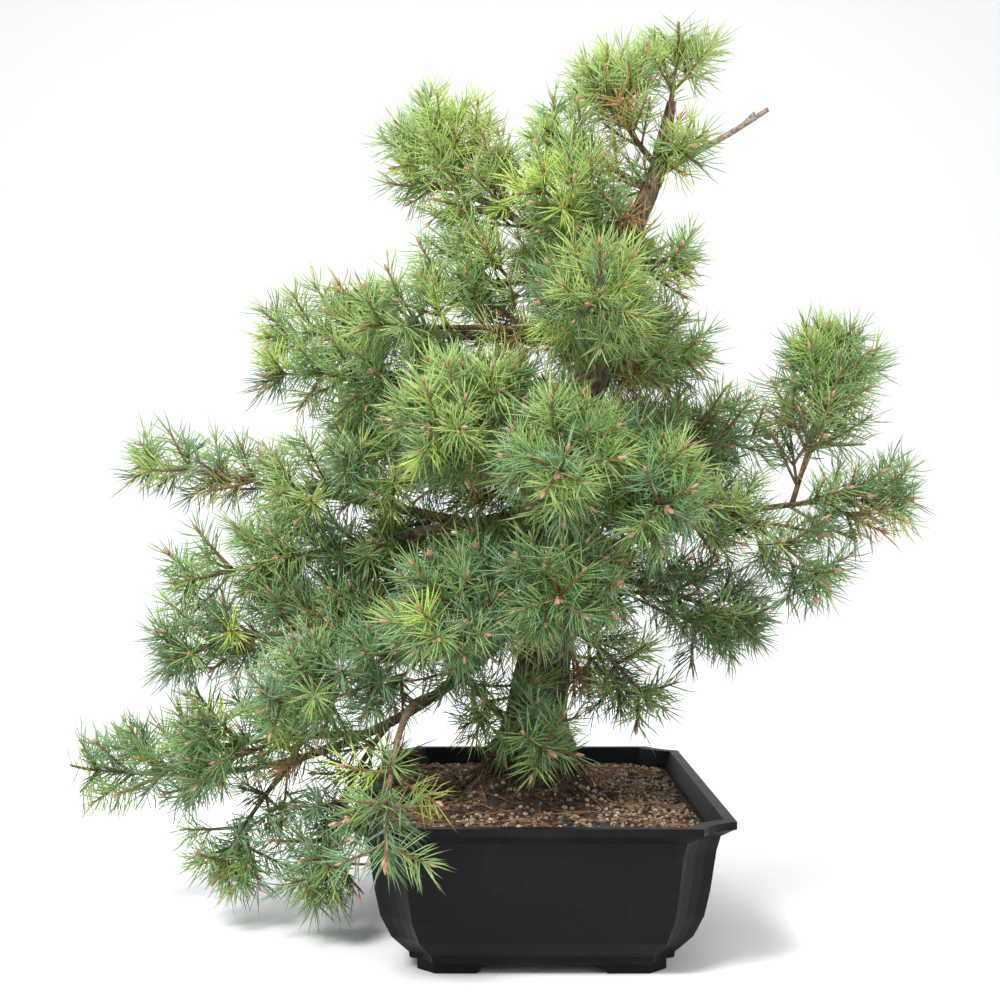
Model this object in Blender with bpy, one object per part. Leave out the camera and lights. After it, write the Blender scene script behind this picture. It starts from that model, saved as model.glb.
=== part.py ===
"""A potted Scots pine, kept small as a bonsai in training: the tree in its black container.

Metres, +Z up. The viewer stands at -Y, so +X is to the right. The container stands on Z = 0,
and at the end everything is moved so that the middle of the whole plant is above the origin.
"""

import math
import random
from collections import namedtuple

import bmesh
import bpy
import numpy as np
from mathutils import Matrix, Vector
from mathutils.bvhtree import BVHTree

GAP = 0.0003

# The container: its outer wall at each height, as a distance out from the foot of the wall.
# The rows give height, how far the wall stands out, and how deep its corners are scooped.
POT_FOOT_HALF = Vector((0.142, 0.242))
POT_WALL = [
    (0.0105, -0.004, 0.026),
    (0.0125, 0.000, 0.026),
    (0.0190, 0.001, 0.026),
    (0.0215, 0.004, 0.028),
    (0.0380, 0.019, 0.032),
    (0.0615, 0.030, 0.036),
    (0.0900, 0.036, 0.038),
    (0.1320, 0.042, 0.040),
    (0.1480, 0.046, 0.040),
    (0.1560, 0.057, 0.040),
]
LIP_OUT = 0.061
LIP_Z = (0.1580, 0.1660)
LIP_CORNER = 0.040
WALL = 0.004
FLOOR_Z = 0.0165
CORNER_STEPS = 4
FOOT_REACH = (0.076, 0.090)
FOOT_WIDTH = 0.024
FOOT_INSET = 0.008
FOOT_SLOPE = 0.012
DRAIN_RADIUS = 0.007
DRAIN_PLACES = [(x, y) for x in (-0.07, 0.07) for y in (-0.13, 0.13)]

# The soil: level near the wall, heaped round the trunk, with a flat seat for the flat cut.
SOIL_RIM_Z = 0.143
SOIL_MOUND = [(0.150, 0.150), (0.115, 0.168), (0.085, 0.195)]
SOIL_SEAT_RADIUS = 0.066
SOIL_SEAT_Z = 0.2087

# The trunk: height, lean to the right, radius.
TRUNK_COURSE = [
    (0.170, -0.010, 0.0480),
    (0.209, -0.006, 0.0430),
    (0.240, -0.002, 0.0375),
    (0.285, 0.004, 0.0345),
    (0.335, 0.012, 0.0320),
    (0.390, 0.020, 0.0295),
    (0.450, 0.029, 0.0270),
    (0.510, 0.038, 0.0245),
    (0.570, 0.047, 0.0225),
    (0.630, 0.060, 0.0205),
    (0.690, 0.074, 0.0190),
    (0.750, 0.089, 0.0170),
    (0.810, 0.105, 0.0155),
    (0.860, 0.126, 0.0140),
    (0.905, 0.146, 0.0120),
    (0.950, 0.156, 0.0095),
    (1.000, 0.167, 0.0065),
]
TRUNK_X = -0.006
ROOT_FLARES = [(15, 0.010), (80, 0.013), (150, 0.012), (205, 0.014), (275, 0.011), (330, 0.013)]
FLARE_TOP = 0.250
FLARE_REACH = 0.060
KNOT_Z = 0.246
KNOT_HEADING = 298
KNOT_RADIUS = 0.0155
KNOT_LIP = 0.0052

# The dead limb, bleached and broken off, and the plant label's strap below it.
DEAD_LIMB = [(0.908, 0.0, 0.0048), (0.938, 0.050, 0.0040), (0.962, 0.093, 0.0034), (0.991, 0.139, 0.0028)]
DEAD_SPUR = [(0.970, 0.106, 0.0028), (0.987, 0.122, 0.0020)]
STRAP_Z = 0.843
STRAP_RADIUS = 0.0178
STRAP_THICK = 0.0009
STRAP_TILT = 18
STRAP_HANG = 0.0011
TAG = (0.020, 0.0012, 0.016)

# Limbs. Each leaves its stock (the trunk at a height, or another limb at a share of its way),
# and its tip lies at a heading (0 right, 90 away, 180 left, 270 towards the viewer), a reach and
# a rise from there. It bends at a share of its way, lifted from the straight line. Its bare
# share is the bough, and the rest carries foliage as wide as its girth on every side.
Limb = namedtuple("Limb", "name stock at heading reach rise bend lift bare girth")
LIMBS = [
    Limb("apex", "trunk", 0.985, 0, 0.017, 0.112, 0.5, 0.000, 0.00, 0.060),
    Limb("top_left_tip", "trunk", 0.920, 190, 0.078, 0.138, 0.8, -0.040, 0.00, 0.066),
    Limb("top_left", "trunk", 0.890, 192, 0.150, 0.080, 0.5, 0.000, 0.00, 0.062),
    Limb("top_right", "trunk", 0.932, 312, 0.070, 0.004, 0.5, 0.000, 0.00, 0.046),
    Limb("upper_spur", "trunk", 0.800, 174, 0.280, 0.182, 0.7, -0.055, 0.34, 0.086),
    Limb("upper_left", "trunk", 0.770, 184, 0.252, 0.010, 0.5, 0.000, 0.00, 0.074),
    Limb("upper_mid", "trunk", 0.830, 214, 0.165, 0.055, 0.5, 0.000, 0.00, 0.080),
    Limb("upper_right", "trunk", 0.790, 335, 0.106, 0.004, 0.5, 0.015, 0.00, 0.058),
    Limb("upper_back", "trunk", 0.800, 110, 0.230, 0.050, 0.5, 0.000, 0.00, 0.080),
    Limb("mid_far_left", "trunk", 0.700, 176, 0.426, 0.019, 0.5, 0.010, 0.54, 0.064),
    Limb("mid_left", "trunk", 0.715, 197, 0.315, -0.002, 0.5, 0.000, 0.00, 0.074),
    Limb("mid_front", "trunk", 0.720, 262, 0.250, -0.005, 0.5, 0.015, 0.00, 0.080),
    Limb("mid_right", "trunk", 0.690, 345, 0.142, -0.010, 0.5, 0.015, 0.00, 0.070),
    Limb("mid_back", "trunk", 0.690, 76, 0.280, 0.035, 0.5, 0.010, 0.00, 0.085),
    Limb("left_upper_arm", "trunk", 0.640, 186, 0.408, 0.020, 0.5, 0.020, 0.00, 0.058),
    Limb("left_arm", "trunk", 0.455, 177, 0.545, 0.108, 0.5, 0.008, 0.62, 0.050),
    Limb("left_inner", "trunk", 0.525, 190, 0.372, -0.006, 0.5, 0.020, 0.00, 0.082),
    Limb("front_left", "trunk", 0.600, 234, 0.320, -0.020, 0.5, 0.020, 0.00, 0.084),
    Limb("front_mid", "trunk", 0.570, 264, 0.330, -0.045, 0.5, 0.025, 0.00, 0.080),
    Limb("front_right", "trunk", 0.540, 290, 0.285, -0.050, 0.5, 0.025, 0.00, 0.080),
    Limb("right_inner", "trunk", 0.560, 4, 0.262, 0.032, 0.5, 0.010, 0.00, 0.066),
    Limb("right_mid", "trunk", 0.476, 352, 0.330, -0.008, 0.5, 0.034, 0.00, 0.074),
    Limb("back_left", "trunk", 0.590, 145, 0.390, 0.000, 0.5, 0.020, 0.00, 0.088),
    Limb("back_right", "trunk", 0.550, 55, 0.330, 0.010, 0.5, 0.020, 0.00, 0.088),
    Limb("right_arm", "trunk", 0.425, 0, 0.448, 0.088, 0.5, 0.050, 0.70, 0.062),
    Limb("right_leader", "right_arm", 0.68, 6, 0.072, 0.224, 0.5, 0.000, 0.14, 0.072),
    Limb("right_drop", "right_arm", 0.50, 330, 0.135, -0.092, 0.5, 0.020, 0.16, 0.072),
    Limb("front_low", "trunk", 0.425, 268, 0.275, -0.055, 0.5, 0.020, 0.00, 0.080),
    Limb("back_low", "trunk", 0.430, 95, 0.270, -0.030, 0.5, 0.020, 0.00, 0.088),
    Limb("right_low", "trunk", 0.420, 352, 0.256, -0.071, 0.5, 0.030, 0.00, 0.085),
    Limb("right_hang", "trunk", 0.365, 322, 0.160, -0.108, 0.6, 0.030, 0.00, 0.070),
    Limb("left_low_far", "trunk", 0.500, 183, 0.490, -0.095, 0.5, 0.010, 0.00, 0.070),
    Limb("low_left", "trunk", 0.390, 189, 0.482, -0.065, 0.5, 0.010, 0.50, 0.070),
    Limb("low_left_back", "trunk", 0.440, 157, 0.410, -0.080, 0.5, 0.020, 0.00, 0.080),
    Limb("low_left_front", "trunk", 0.360, 209, 0.385, -0.090, 0.5, 0.030, 0.00, 0.074),
    Limb("front_low_left", "trunk", 0.455, 238, 0.310, -0.100, 0.5, 0.020, 0.00, 0.078),
    Limb("far_left", "trunk", 0.420, 180, 0.598, -0.250, 0.36, -0.200, 0.70, 0.060),
    Limb("far_left_mid", "far_left", 0.48, 204, 0.235, -0.012, 0.5, 0.010, 0.12, 0.074),
    Limb("hanging_left", "far_left", 0.42, 234, 0.160, -0.195, 0.6, 0.050, 0.18, 0.078),
    Limb("bottom_left", "far_left", 0.62, 214, 0.116, -0.146, 0.6, 0.020, 0.20, 0.070),
    Limb("pot_front", "far_left", 0.34, 266, 0.362, -0.130, 0.95, 0.150, 0.72, 0.064),
    Limb("base_front", "far_left", 0.25, 302, 0.210, -0.085, 0.3, -0.020, 0.24, 0.060),
]
SIDES_OF_A_BOUGH = 6
LIMB_RADIUS = 0.0032
LIMB_RADIUS_PER_REACH = 0.0085
FORK_THINNER = 0.8
STRAIGHT_START = 0.012
SEAT_FROM = 0.14
SEAT_EXACT = 0.00001
STEM_GUARD = 0.001
STEM_RADIUS = 0.0026
COURSE_STEPS = 7
LEAFY_FROM = 0.18
TIP_ROOM = 0.026

# The growth of a mass of foliage: whorls of side shoots along its stem, each with needles.
WHORL_STEP = 0.060
SHOOTS_PER_WHORL = 3
SHOOT_SPREAD = 55
SHOOT_LIFT = 0.18
SHOOT_LENGTHS = (0.034, 0.110)
BAND = 0.030
SHOOT_BANDS = 2
NEEDLE_LENGTH = 0.050
NEEDLE_LEAN = 50
CORE_RADIUS = 0.0034
TWIG_RADIUS = 0.0018
LEAST_NEEDLES = 4
FIRST_WHORL = 0.034
SAMPLE = 0.008
CLEAR = 0.004
NEEDLES_APART = 0.008
PROUD = 1.12
OWN_SPACE = 0.96

# Finishes: base colour and roughness.
FINISHES = {
    "black_plastic": ((0.013, 0.013, 0.015), 0.55),
    "potting_soil": ((0.075, 0.040, 0.024), 0.95),
    "pine_bark": ((0.130, 0.085, 0.055), 0.90),
    "deadwood": ((0.330, 0.270, 0.200), 0.80),
    "pine_foliage": ((0.085, 0.190, 0.045), 0.60),
    "label_yellow": ((0.850, 0.520, 0.020), 0.50),
}


def finish(name):
    """The material of this name, made once."""
    if name in bpy.data.materials:
        return bpy.data.materials[name]
    colour, roughness = FINISHES[name]
    material = bpy.data.materials.new(name)
    material.use_nodes = True
    shader = material.node_tree.nodes["Principled BSDF"]
    shader.inputs["Base Color"].default_value = (*colour, 1)
    shader.inputs["Roughness"].default_value = roughness
    shader.inputs["Metallic"].default_value = 0
    material.diffuse_color = (*colour, 1)
    return material


def new_object(name, mesh, finish_name, collection):
    mesh.name = name
    mesh.materials.clear()
    mesh.materials.append(finish(finish_name))
    made = bpy.data.objects.new(name, mesh)
    collection.objects.link(made)
    return made


def mesh_of(bm):
    bmesh.ops.recalc_face_normals(bm, faces=bm.faces)
    mesh = bpy.data.meshes.new("shape")
    bm.to_mesh(mesh)
    bm.free()
    return mesh


def evaluated_mesh(made):
    bpy.context.view_layer.update()
    graph = bpy.context.evaluated_depsgraph_get()
    return bpy.data.meshes.new_from_object(made.evaluated_get(graph))


def join(made, others, cut=False, solver="MANIFOLD"):
    """One Boolean on a collection joins the others to an object, or cuts them from it."""
    helpers = bpy.data.collections.new("helpers")
    bpy.context.scene.collection.children.link(helpers)
    for mesh in others:
        helpers.objects.link(bpy.data.objects.new("helper", mesh))
    boolean = made.modifiers.new("join", "BOOLEAN")
    boolean.operation = "DIFFERENCE" if cut else "UNION"
    boolean.operand_type = "COLLECTION"
    boolean.collection = helpers
    boolean.solver = solver
    joined = evaluated_mesh(made)
    made.modifiers.clear()
    made.data = joined
    for helper in list(helpers.objects):
        bpy.data.objects.remove(helper)
    bpy.data.collections.remove(helpers)
    keep_main_body(joined)


def keep_main_body(mesh):
    """Leaves the largest closed body, and drops loose scraps and sealed hollows."""
    bm = bmesh.new()
    bm.from_mesh(mesh)
    left = set(bm.verts)
    bodies = []
    while left:
        front = [left.pop()]
        body = set(front)
        while front:
            for edge in front.pop().link_edges:
                for vert in edge.verts:
                    if vert not in body:
                        body.add(vert)
                        front.append(vert)
        left -= body
        bodies.append(body)
    bodies.sort(key=len)
    for body in bodies[:-1]:
        bmesh.ops.delete(bm, geom=list(body), context="VERTS")
    bm.to_mesh(mesh)
    bm.free()


def loft(rings):
    """A closed skin through rings of as many points each, with its first and last ring filled."""
    bm = bmesh.new()
    rows = [[bm.verts.new(point) for point in ring] for ring in rings]
    for lower, upper in zip(rows, rows[1:]):
        for i in range(len(lower)):
            before = i - 1
            bm.faces.new((lower[before], lower[i], upper[i], upper[before]))
    bm.faces.new(rows[0])
    bm.faces.new(rows[-1])
    return mesh_of(bm)


def tube(course, radii, sides):
    """A round tapering tube along a course of points, with flat ends, as a closed mesh."""
    curve = bpy.data.curves.new("tube", "CURVE")
    curve.dimensions = "3D"
    curve.bevel_depth = radii[0]
    curve.bevel_resolution = (sides - 4) // 2
    curve.use_fill_caps = True
    spline = curve.splines.new("POLY")
    spline.points.add(len(course) - 1)
    for point, place, radius in zip(spline.points, course, radii):
        point.co = (*place, 1)
        point.radius = radius / radii[0]
    helper = bpy.data.objects.new("tube", curve)
    bpy.context.scene.collection.objects.link(helper)
    mesh = evaluated_mesh(helper)
    bpy.data.objects.remove(helper)
    bpy.data.curves.remove(curve)
    bm = bmesh.new()
    bm.from_mesh(mesh)
    bmesh.ops.remove_doubles(bm, verts=bm.verts, dist=0.00001)
    bmesh.ops.recalc_face_normals(bm, faces=bm.faces)
    bm.to_mesh(mesh)
    bm.free()
    return mesh


def toward(heading, lift=0.0):
    angle = math.radians(heading)
    return Vector((math.cos(angle), math.sin(angle), lift))


def pot_outline(out, corner, z):
    """The container's plan at one height: straight sides between scooped corners."""
    half_x, half_y = POT_FOOT_HALF + Vector((out, out))
    points = []
    for side_x, side_y in ((1, 1), (-1, 1), (-1, -1), (1, -1)):
        steps = range(CORNER_STEPS + 1)
        if side_x != side_y:
            steps = reversed(steps)
        for step in steps:
            angle = math.radians(90 * step / CORNER_STEPS)
            straight = corner * step / CORNER_STEPS
            scoop_x = 0.5 * (corner * math.sin(angle) + straight)
            scoop_y = 0.5 * (corner * math.cos(angle) + corner - straight)
            points.append(Vector((side_x * (half_x - scoop_x), side_y * (half_y - scoop_y), z)))
    return points


def wall_at(z):
    """How far the outer wall stands out and how deep its corners are at a height."""
    for (low, out_low, corner_low), (high, out_high, corner_high) in zip(POT_WALL, POT_WALL[1:]):
        if z <= high:
            share = (z - low) / (high - low)
            return out_low + share * (out_high - out_low), corner_low + share * (corner_high - corner_low)
    return POT_WALL[-1][1:]


def inner_outline(z, inset):
    out, corner = wall_at(z)
    return pot_outline(out - inset, corner, z)


def make_pot(collection):
    rings = [pot_outline(out, corner, z) for z, out, corner in POT_WALL]
    rings += [pot_outline(LIP_OUT, LIP_CORNER, z) for z in LIP_Z]
    rings.append(pot_outline(LIP_OUT - 0.012, LIP_CORNER, LIP_Z[1]))
    inner_heights = [z for z, _, _ in reversed(POT_WALL[4:-1])] + [FLOOR_Z + 0.004]
    rings += [inner_outline(z, WALL) for z in inner_heights]
    floor_out, floor_corner = wall_at(FLOOR_Z)
    rings.append(pot_outline(floor_out - 3 * WALL, floor_corner, FLOOR_Z))
    pot = new_object("pot", loft(rings), "black_plastic", collection)
    join(pot, [foot(x, y) for x in (-1, 1) for y in (-1, 1)])
    drains = []
    for x, y in DRAIN_PLACES:
        bm = bmesh.new()
        place = Matrix.Translation((x, y, FLOOR_Z / 2))
        bmesh.ops.create_cone(
            bm,
            cap_ends=True,
            segments=6,
            radius1=DRAIN_RADIUS,
            radius2=DRAIN_RADIUS,
            depth=2 * FLOOR_Z,
            matrix=place,
        )
        drains.append(mesh_of(bm))
    join(pot, drains, cut=True)


def foot(side_x, side_y):
    """A corner foot: an L with sloping ends, that stands under the plinth."""
    base = POT_FOOT_HALF - Vector((FOOT_INSET, FOOT_INSET))
    notch = 0.020
    rings = []
    for z, slope in ((0.0, FOOT_SLOPE), (POT_WALL[0][0] + 0.002, 0.0)):
        long_x = base.x - FOOT_REACH[0] + slope
        long_y = base.y - FOOT_REACH[1] + slope
        corners = [
            (long_x, base.y),
            (long_x, base.y - FOOT_WIDTH),
            (base.x - FOOT_WIDTH - notch, base.y - FOOT_WIDTH),
            (base.x - FOOT_WIDTH, base.y - FOOT_WIDTH - notch),
            (base.x - FOOT_WIDTH, long_y),
            (base.x, long_y),
            (base.x, base.y - notch),
            (base.x - notch, base.y),
        ]
        rings.append([Vector((side_x * x, side_y * y, z)) for x, y in corners])
    return loft(rings)


def make_soil(collection):
    """The soil fills the container, a hair inside its wall, and is heaped round the trunk."""
    inset = WALL + GAP / math.cos(math.radians(45))
    floor_out, floor_corner = wall_at(FLOOR_Z)
    floor_z = FLOOR_Z + GAP
    rings = [pot_outline(floor_out - 3 * WALL - 2 * GAP, floor_corner, floor_z)]
    heights = [FLOOR_Z + 0.004] + [z for z, _, _ in POT_WALL[4:-2]]
    for z in heights:
        rings.append([point + Vector((0, 0, GAP)) for point in inner_outline(z, inset + GAP)])
    rings.append(inner_outline(SOIL_RIM_Z, inset + GAP))
    rim = rings[-1]
    seat = Vector((TRUNK_X, 0, 0))
    for radius, z in SOIL_MOUND + [(SOIL_SEAT_RADIUS, SOIL_SEAT_Z)]:
        ring = []
        for point in rim:
            away = Vector((point.x, point.y, 0)) - seat
            ring.append(seat + away.normalized() * min(radius, 0.93 * away.length) + Vector((0, 0, z)))
        rings.append(ring)
    new_object("soil", loft(rings), "potting_soil", collection)


def trunk_at(z):
    """The trunk's axis and radius at a height."""
    for (low, x_low, r_low), (high, x_high, r_high) in zip(TRUNK_COURSE, TRUNK_COURSE[1:]):
        if z <= high:
            share = (z - low) / (high - low)
            return Vector((x_low + share * (x_high - x_low), 0, z)), r_low + share * (r_high - r_low)
    return Vector((TRUNK_COURSE[-1][1], 0, TRUNK_COURSE[-1][0])), TRUNK_COURSE[-1][2]


def ring_mesh(major, minor, matrix, around=14, across=6):
    """A ring of round stock, lying across the matrix's z axis."""
    course = [matrix @ (major * toward(360 * i / around)) for i in range(around)]
    rings = []
    for i, centre in enumerate(course):
        away = (centre - matrix.translation).normalized()
        up = matrix.to_3x3() @ Vector((0, 0, 1))
        angles = [2 * math.pi * k / across for k in range(across)]
        rings.append([centre + minor * (math.cos(a) * away + math.sin(a) * up) for a in angles])
    bm = bmesh.new()
    rows = [[bm.verts.new(point) for point in ring] for ring in rings]
    for i, row in enumerate(rows):
        following = rows[(i + 1) % around]
        for k in range(across):
            bm.faces.new((row[k - 1], row[k], following[k], following[k - 1]))
    return mesh_of(bm)


def make_trunk(collection):
    """The trunk with its root flare, a healed pruning wound low down, and a flat cut on the soil."""
    course = [Vector((x, 0, z)) for z, x, _ in TRUNK_COURSE]
    mesh = tube(course, [radius for _, _, radius in TRUNK_COURSE], 12)
    trunk = new_object("trunk", mesh, "pine_bark", collection)
    flares = []
    for heading, radius in ROOT_FLARES:
        top, stem_radius = trunk_at(FLARE_TOP)
        out = toward(heading)
        foot_axis = trunk_at(SOIL_SEAT_Z)[0]
        middle = foot_axis + out * (0.75 * stem_radius)
        toe = foot_axis + out * FLARE_REACH - Vector((0, 0, 0.020))
        start = top + out * (0.55 * stem_radius)
        flares.append(tube([start, middle, toe], [0.6 * radius, radius, 0.8 * radius], 8))
    axis, radius = trunk_at(KNOT_Z)
    out = toward(KNOT_HEADING)
    lip_place = Matrix.Translation(axis + out * (radius - 0.001)) @ out.to_track_quat("Z", "Y").to_matrix().to_4x4()
    flares.append(ring_mesh(KNOT_RADIUS, KNOT_LIP, lip_place, 12, 6))
    join(trunk, flares)
    hollow = bmesh.new()
    bmesh.ops.create_icosphere(hollow, subdivisions=2, radius=KNOT_RADIUS - 0.5 * KNOT_LIP, matrix=lip_place)
    ground = bmesh.new()
    depth = 0.08
    below = Matrix.Translation((0, 0, SOIL_SEAT_Z + GAP - depth / 2))
    bmesh.ops.create_cube(ground, size=1, matrix=below @ Matrix.Diagonal((0.4, 0.4, depth, 1)))
    join(trunk, [mesh_of(hollow), mesh_of(ground)], cut=True)
    return trunk


def make_dead_limb(collection, trunk):
    """The dead limb points up to the right from the upper trunk, and ends in a broken fork."""
    root = trunk_at(DEAD_LIMB[0][0])[0]
    course = [Vector((root.x + out, 0, z)) for z, out, _ in DEAD_LIMB]
    course[0] = root
    course = seated(course, DEAD_LIMB[0][2], skin_of(trunk.data))
    mesh = tube(course, [radius for _, _, radius in DEAD_LIMB], 8)
    limb = new_object("dead_limb", mesh, "deadwood", collection)
    spur = [Vector((root.x + out, 0, z)) for z, out, _ in DEAD_SPUR]
    join(limb, [tube(spur, [radius for _, _, radius in DEAD_SPUR], 6)])


def make_label(collection):
    """A blank plant label: a strap round the trunk with its tag hanging at the front."""
    axis, _ = trunk_at(STRAP_Z)
    lean = (trunk_at(STRAP_Z + 0.01)[0] - axis).to_track_quat("Z", "Y").to_matrix().to_4x4()
    tilt = Matrix.Rotation(math.radians(STRAP_TILT), 4, "X")
    place = Matrix.Translation(axis - Vector((0, STRAP_HANG, 0))) @ lean @ tilt
    strap = new_object("label_tie", ring_mesh(STRAP_RADIUS, STRAP_THICK, place, 12, 4), "label_yellow", collection)
    tag = bmesh.new()
    width, thick, height = TAG
    corner = place @ (STRAP_RADIUS * toward(-62))
    turn = Matrix.Rotation(math.radians(-14), 4, "Z") @ Matrix.Rotation(math.radians(24), 4, "Y")
    middle = Matrix.Translation(corner) @ turn @ Matrix.Translation((width * 0.42, 0, -height * 0.35))
    bmesh.ops.create_cube(tag, size=1, matrix=middle @ Matrix.Diagonal((width, thick, height, 1)))
    join(strap, [mesh_of(tag)])


class Surfaces:
    """The skins of all the limbs in one tree, to keep foliage clear of them."""

    def __init__(self):
        self.points = []
        self.faces = []
        self.owners = []
        self.tree = None

    def add(self, owner, mesh):
        start = len(self.points)
        self.points += [vert.co.copy() for vert in mesh.vertices]
        for face in mesh.polygons:
            self.faces.append([start + i for i in face.vertices])
            self.owners.append(owner)
        self.tree = None

    def touch(self, point, but_not):
        """Whether another owner's skin is nearer to this point than foliage may come."""
        if self.tree is None:
            self.tree = BVHTree.FromPolygons(self.points, self.faces)
        found = self.tree.find_nearest_range(point, CLEAR)
        return any(self.owners[i] != but_not for _, _, i, _ in found)


def skin_of(mesh):
    return BVHTree.FromPolygons([vert.co for vert in mesh.vertices], [face.vertices for face in mesh.polygons])


def seated(course, radius, skin):
    """The course, starting where a cut end of this radius stands one gap clear of the stock's skin."""
    axis = course[0]
    onward = (course[1] - axis).normalized()
    across = onward.orthogonal().normalized() * radius
    rim = [Matrix.Rotation(math.radians(30 * i), 3, onward) @ across for i in range(12)]
    reach = SEAT_FROM
    room = 1.0
    while room > SEAT_EXACT:
        centre = axis + onward * reach
        room = min(skin.find_nearest(centre + away)[3] for away in rim + [Vector()]) - GAP
        reach -= room
    start = axis + onward * reach
    return [start] + [point for point in course[1:] if (point - axis).length > reach + 2 * radius]


def bend_through(start, control, end, share):
    return start.lerp(control, share).lerp(control.lerp(end, share), share)


def limb_course(limb, courses):
    """The limb's course from its stock's middle to its tip, as points at even shares."""
    if limb.stock == "trunk":
        start = trunk_at(limb.at)[0]
    else:
        start = share_of(courses[limb.stock], limb.at)
    tip = start + toward(limb.heading) * limb.reach + Vector((0, 0, limb.rise))
    tip -= (tip - start).normalized() * TIP_ROOM
    control = start.lerp(tip, limb.bend) + Vector((0, 0, limb.lift))
    return [bend_through(start, control, tip, i / COURSE_STEPS) for i in range(COURSE_STEPS + 1)]


def share_of(course, share):
    """The point at a share of the way along a course of even shares."""
    steps = len(course) - 1
    i = min(int(share * steps), steps - 1)
    return course[i].lerp(course[i + 1], share * steps - i)


def split_course(course, share):
    """The bare part and the leafy part of a course, one gap apart, with their ends parallel."""
    steps = len(course) - 1
    cut = share_of(course, share)
    bare = [point for i, point in enumerate(course) if i / steps < share - 0.05] + [cut]
    onward = (cut - bare[-2]).normalized()
    leafy = [point for i, point in enumerate(course) if i / steps > share + 0.05]
    return bare, [cut + onward * GAP, cut + onward * STRAIGHT_START] + leafy


def root_radius(limb):
    radius = LIMB_RADIUS + LIMB_RADIUS_PER_REACH * limb.reach
    return radius if limb.stock == "trunk" else radius * FORK_THINNER


def taper(first, last, count):
    return [first + (last - first) * i / (count - 1) for i in range(count)]


def samples(start, end):
    """Points along a line, close enough together to measure the room round it."""
    steps = max(1, math.ceil((end - start).length / SAMPLE))
    return np.array([start.lerp(end, i / steps) for i in range(steps + 1)])


def back_from_tip(course, distance):
    """The point this far back from the end of a course, its direction there, and the points before it."""
    for i in range(len(course) - 1, 0, -1):
        step = course[i] - course[i - 1]
        if distance <= step.length or i == 1:
            onward = step.normalized()
            point = course[i] - onward * min(distance, step.length * 0.75)
            return point, onward, course[:i]
        distance -= step.length


class Space:
    """The room that one mass keeps to: a long egg round the leafy part of its limb."""

    def __init__(self, name, foot_point, tip, girth):
        self.name = name
        self.centre = (foot_point + tip) / 2
        self.axis = (tip - foot_point).normalized()
        self.half = (tip - foot_point).length / 2 + TIP_ROOM
        self.girth = girth

    def depth(self, point):
        """0 in the middle, 1 on the skin."""
        away = point - self.centre
        along = away.dot(self.axis)
        across = math.sqrt(max(0.0, away.length_squared - along * along))
        blunt = (along / self.half) ** 4 + (across / self.girth) ** 4
        return blunt**0.25

    def way_out(self, start, onward):
        """How far it is from a point to the skin, along a direction."""
        reach = 0.0
        while reach < SHOOT_LENGTHS[1] + NEEDLE_LENGTH and self.depth(start + onward * reach) < 1:
            reach += 0.004
        return reach


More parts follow.
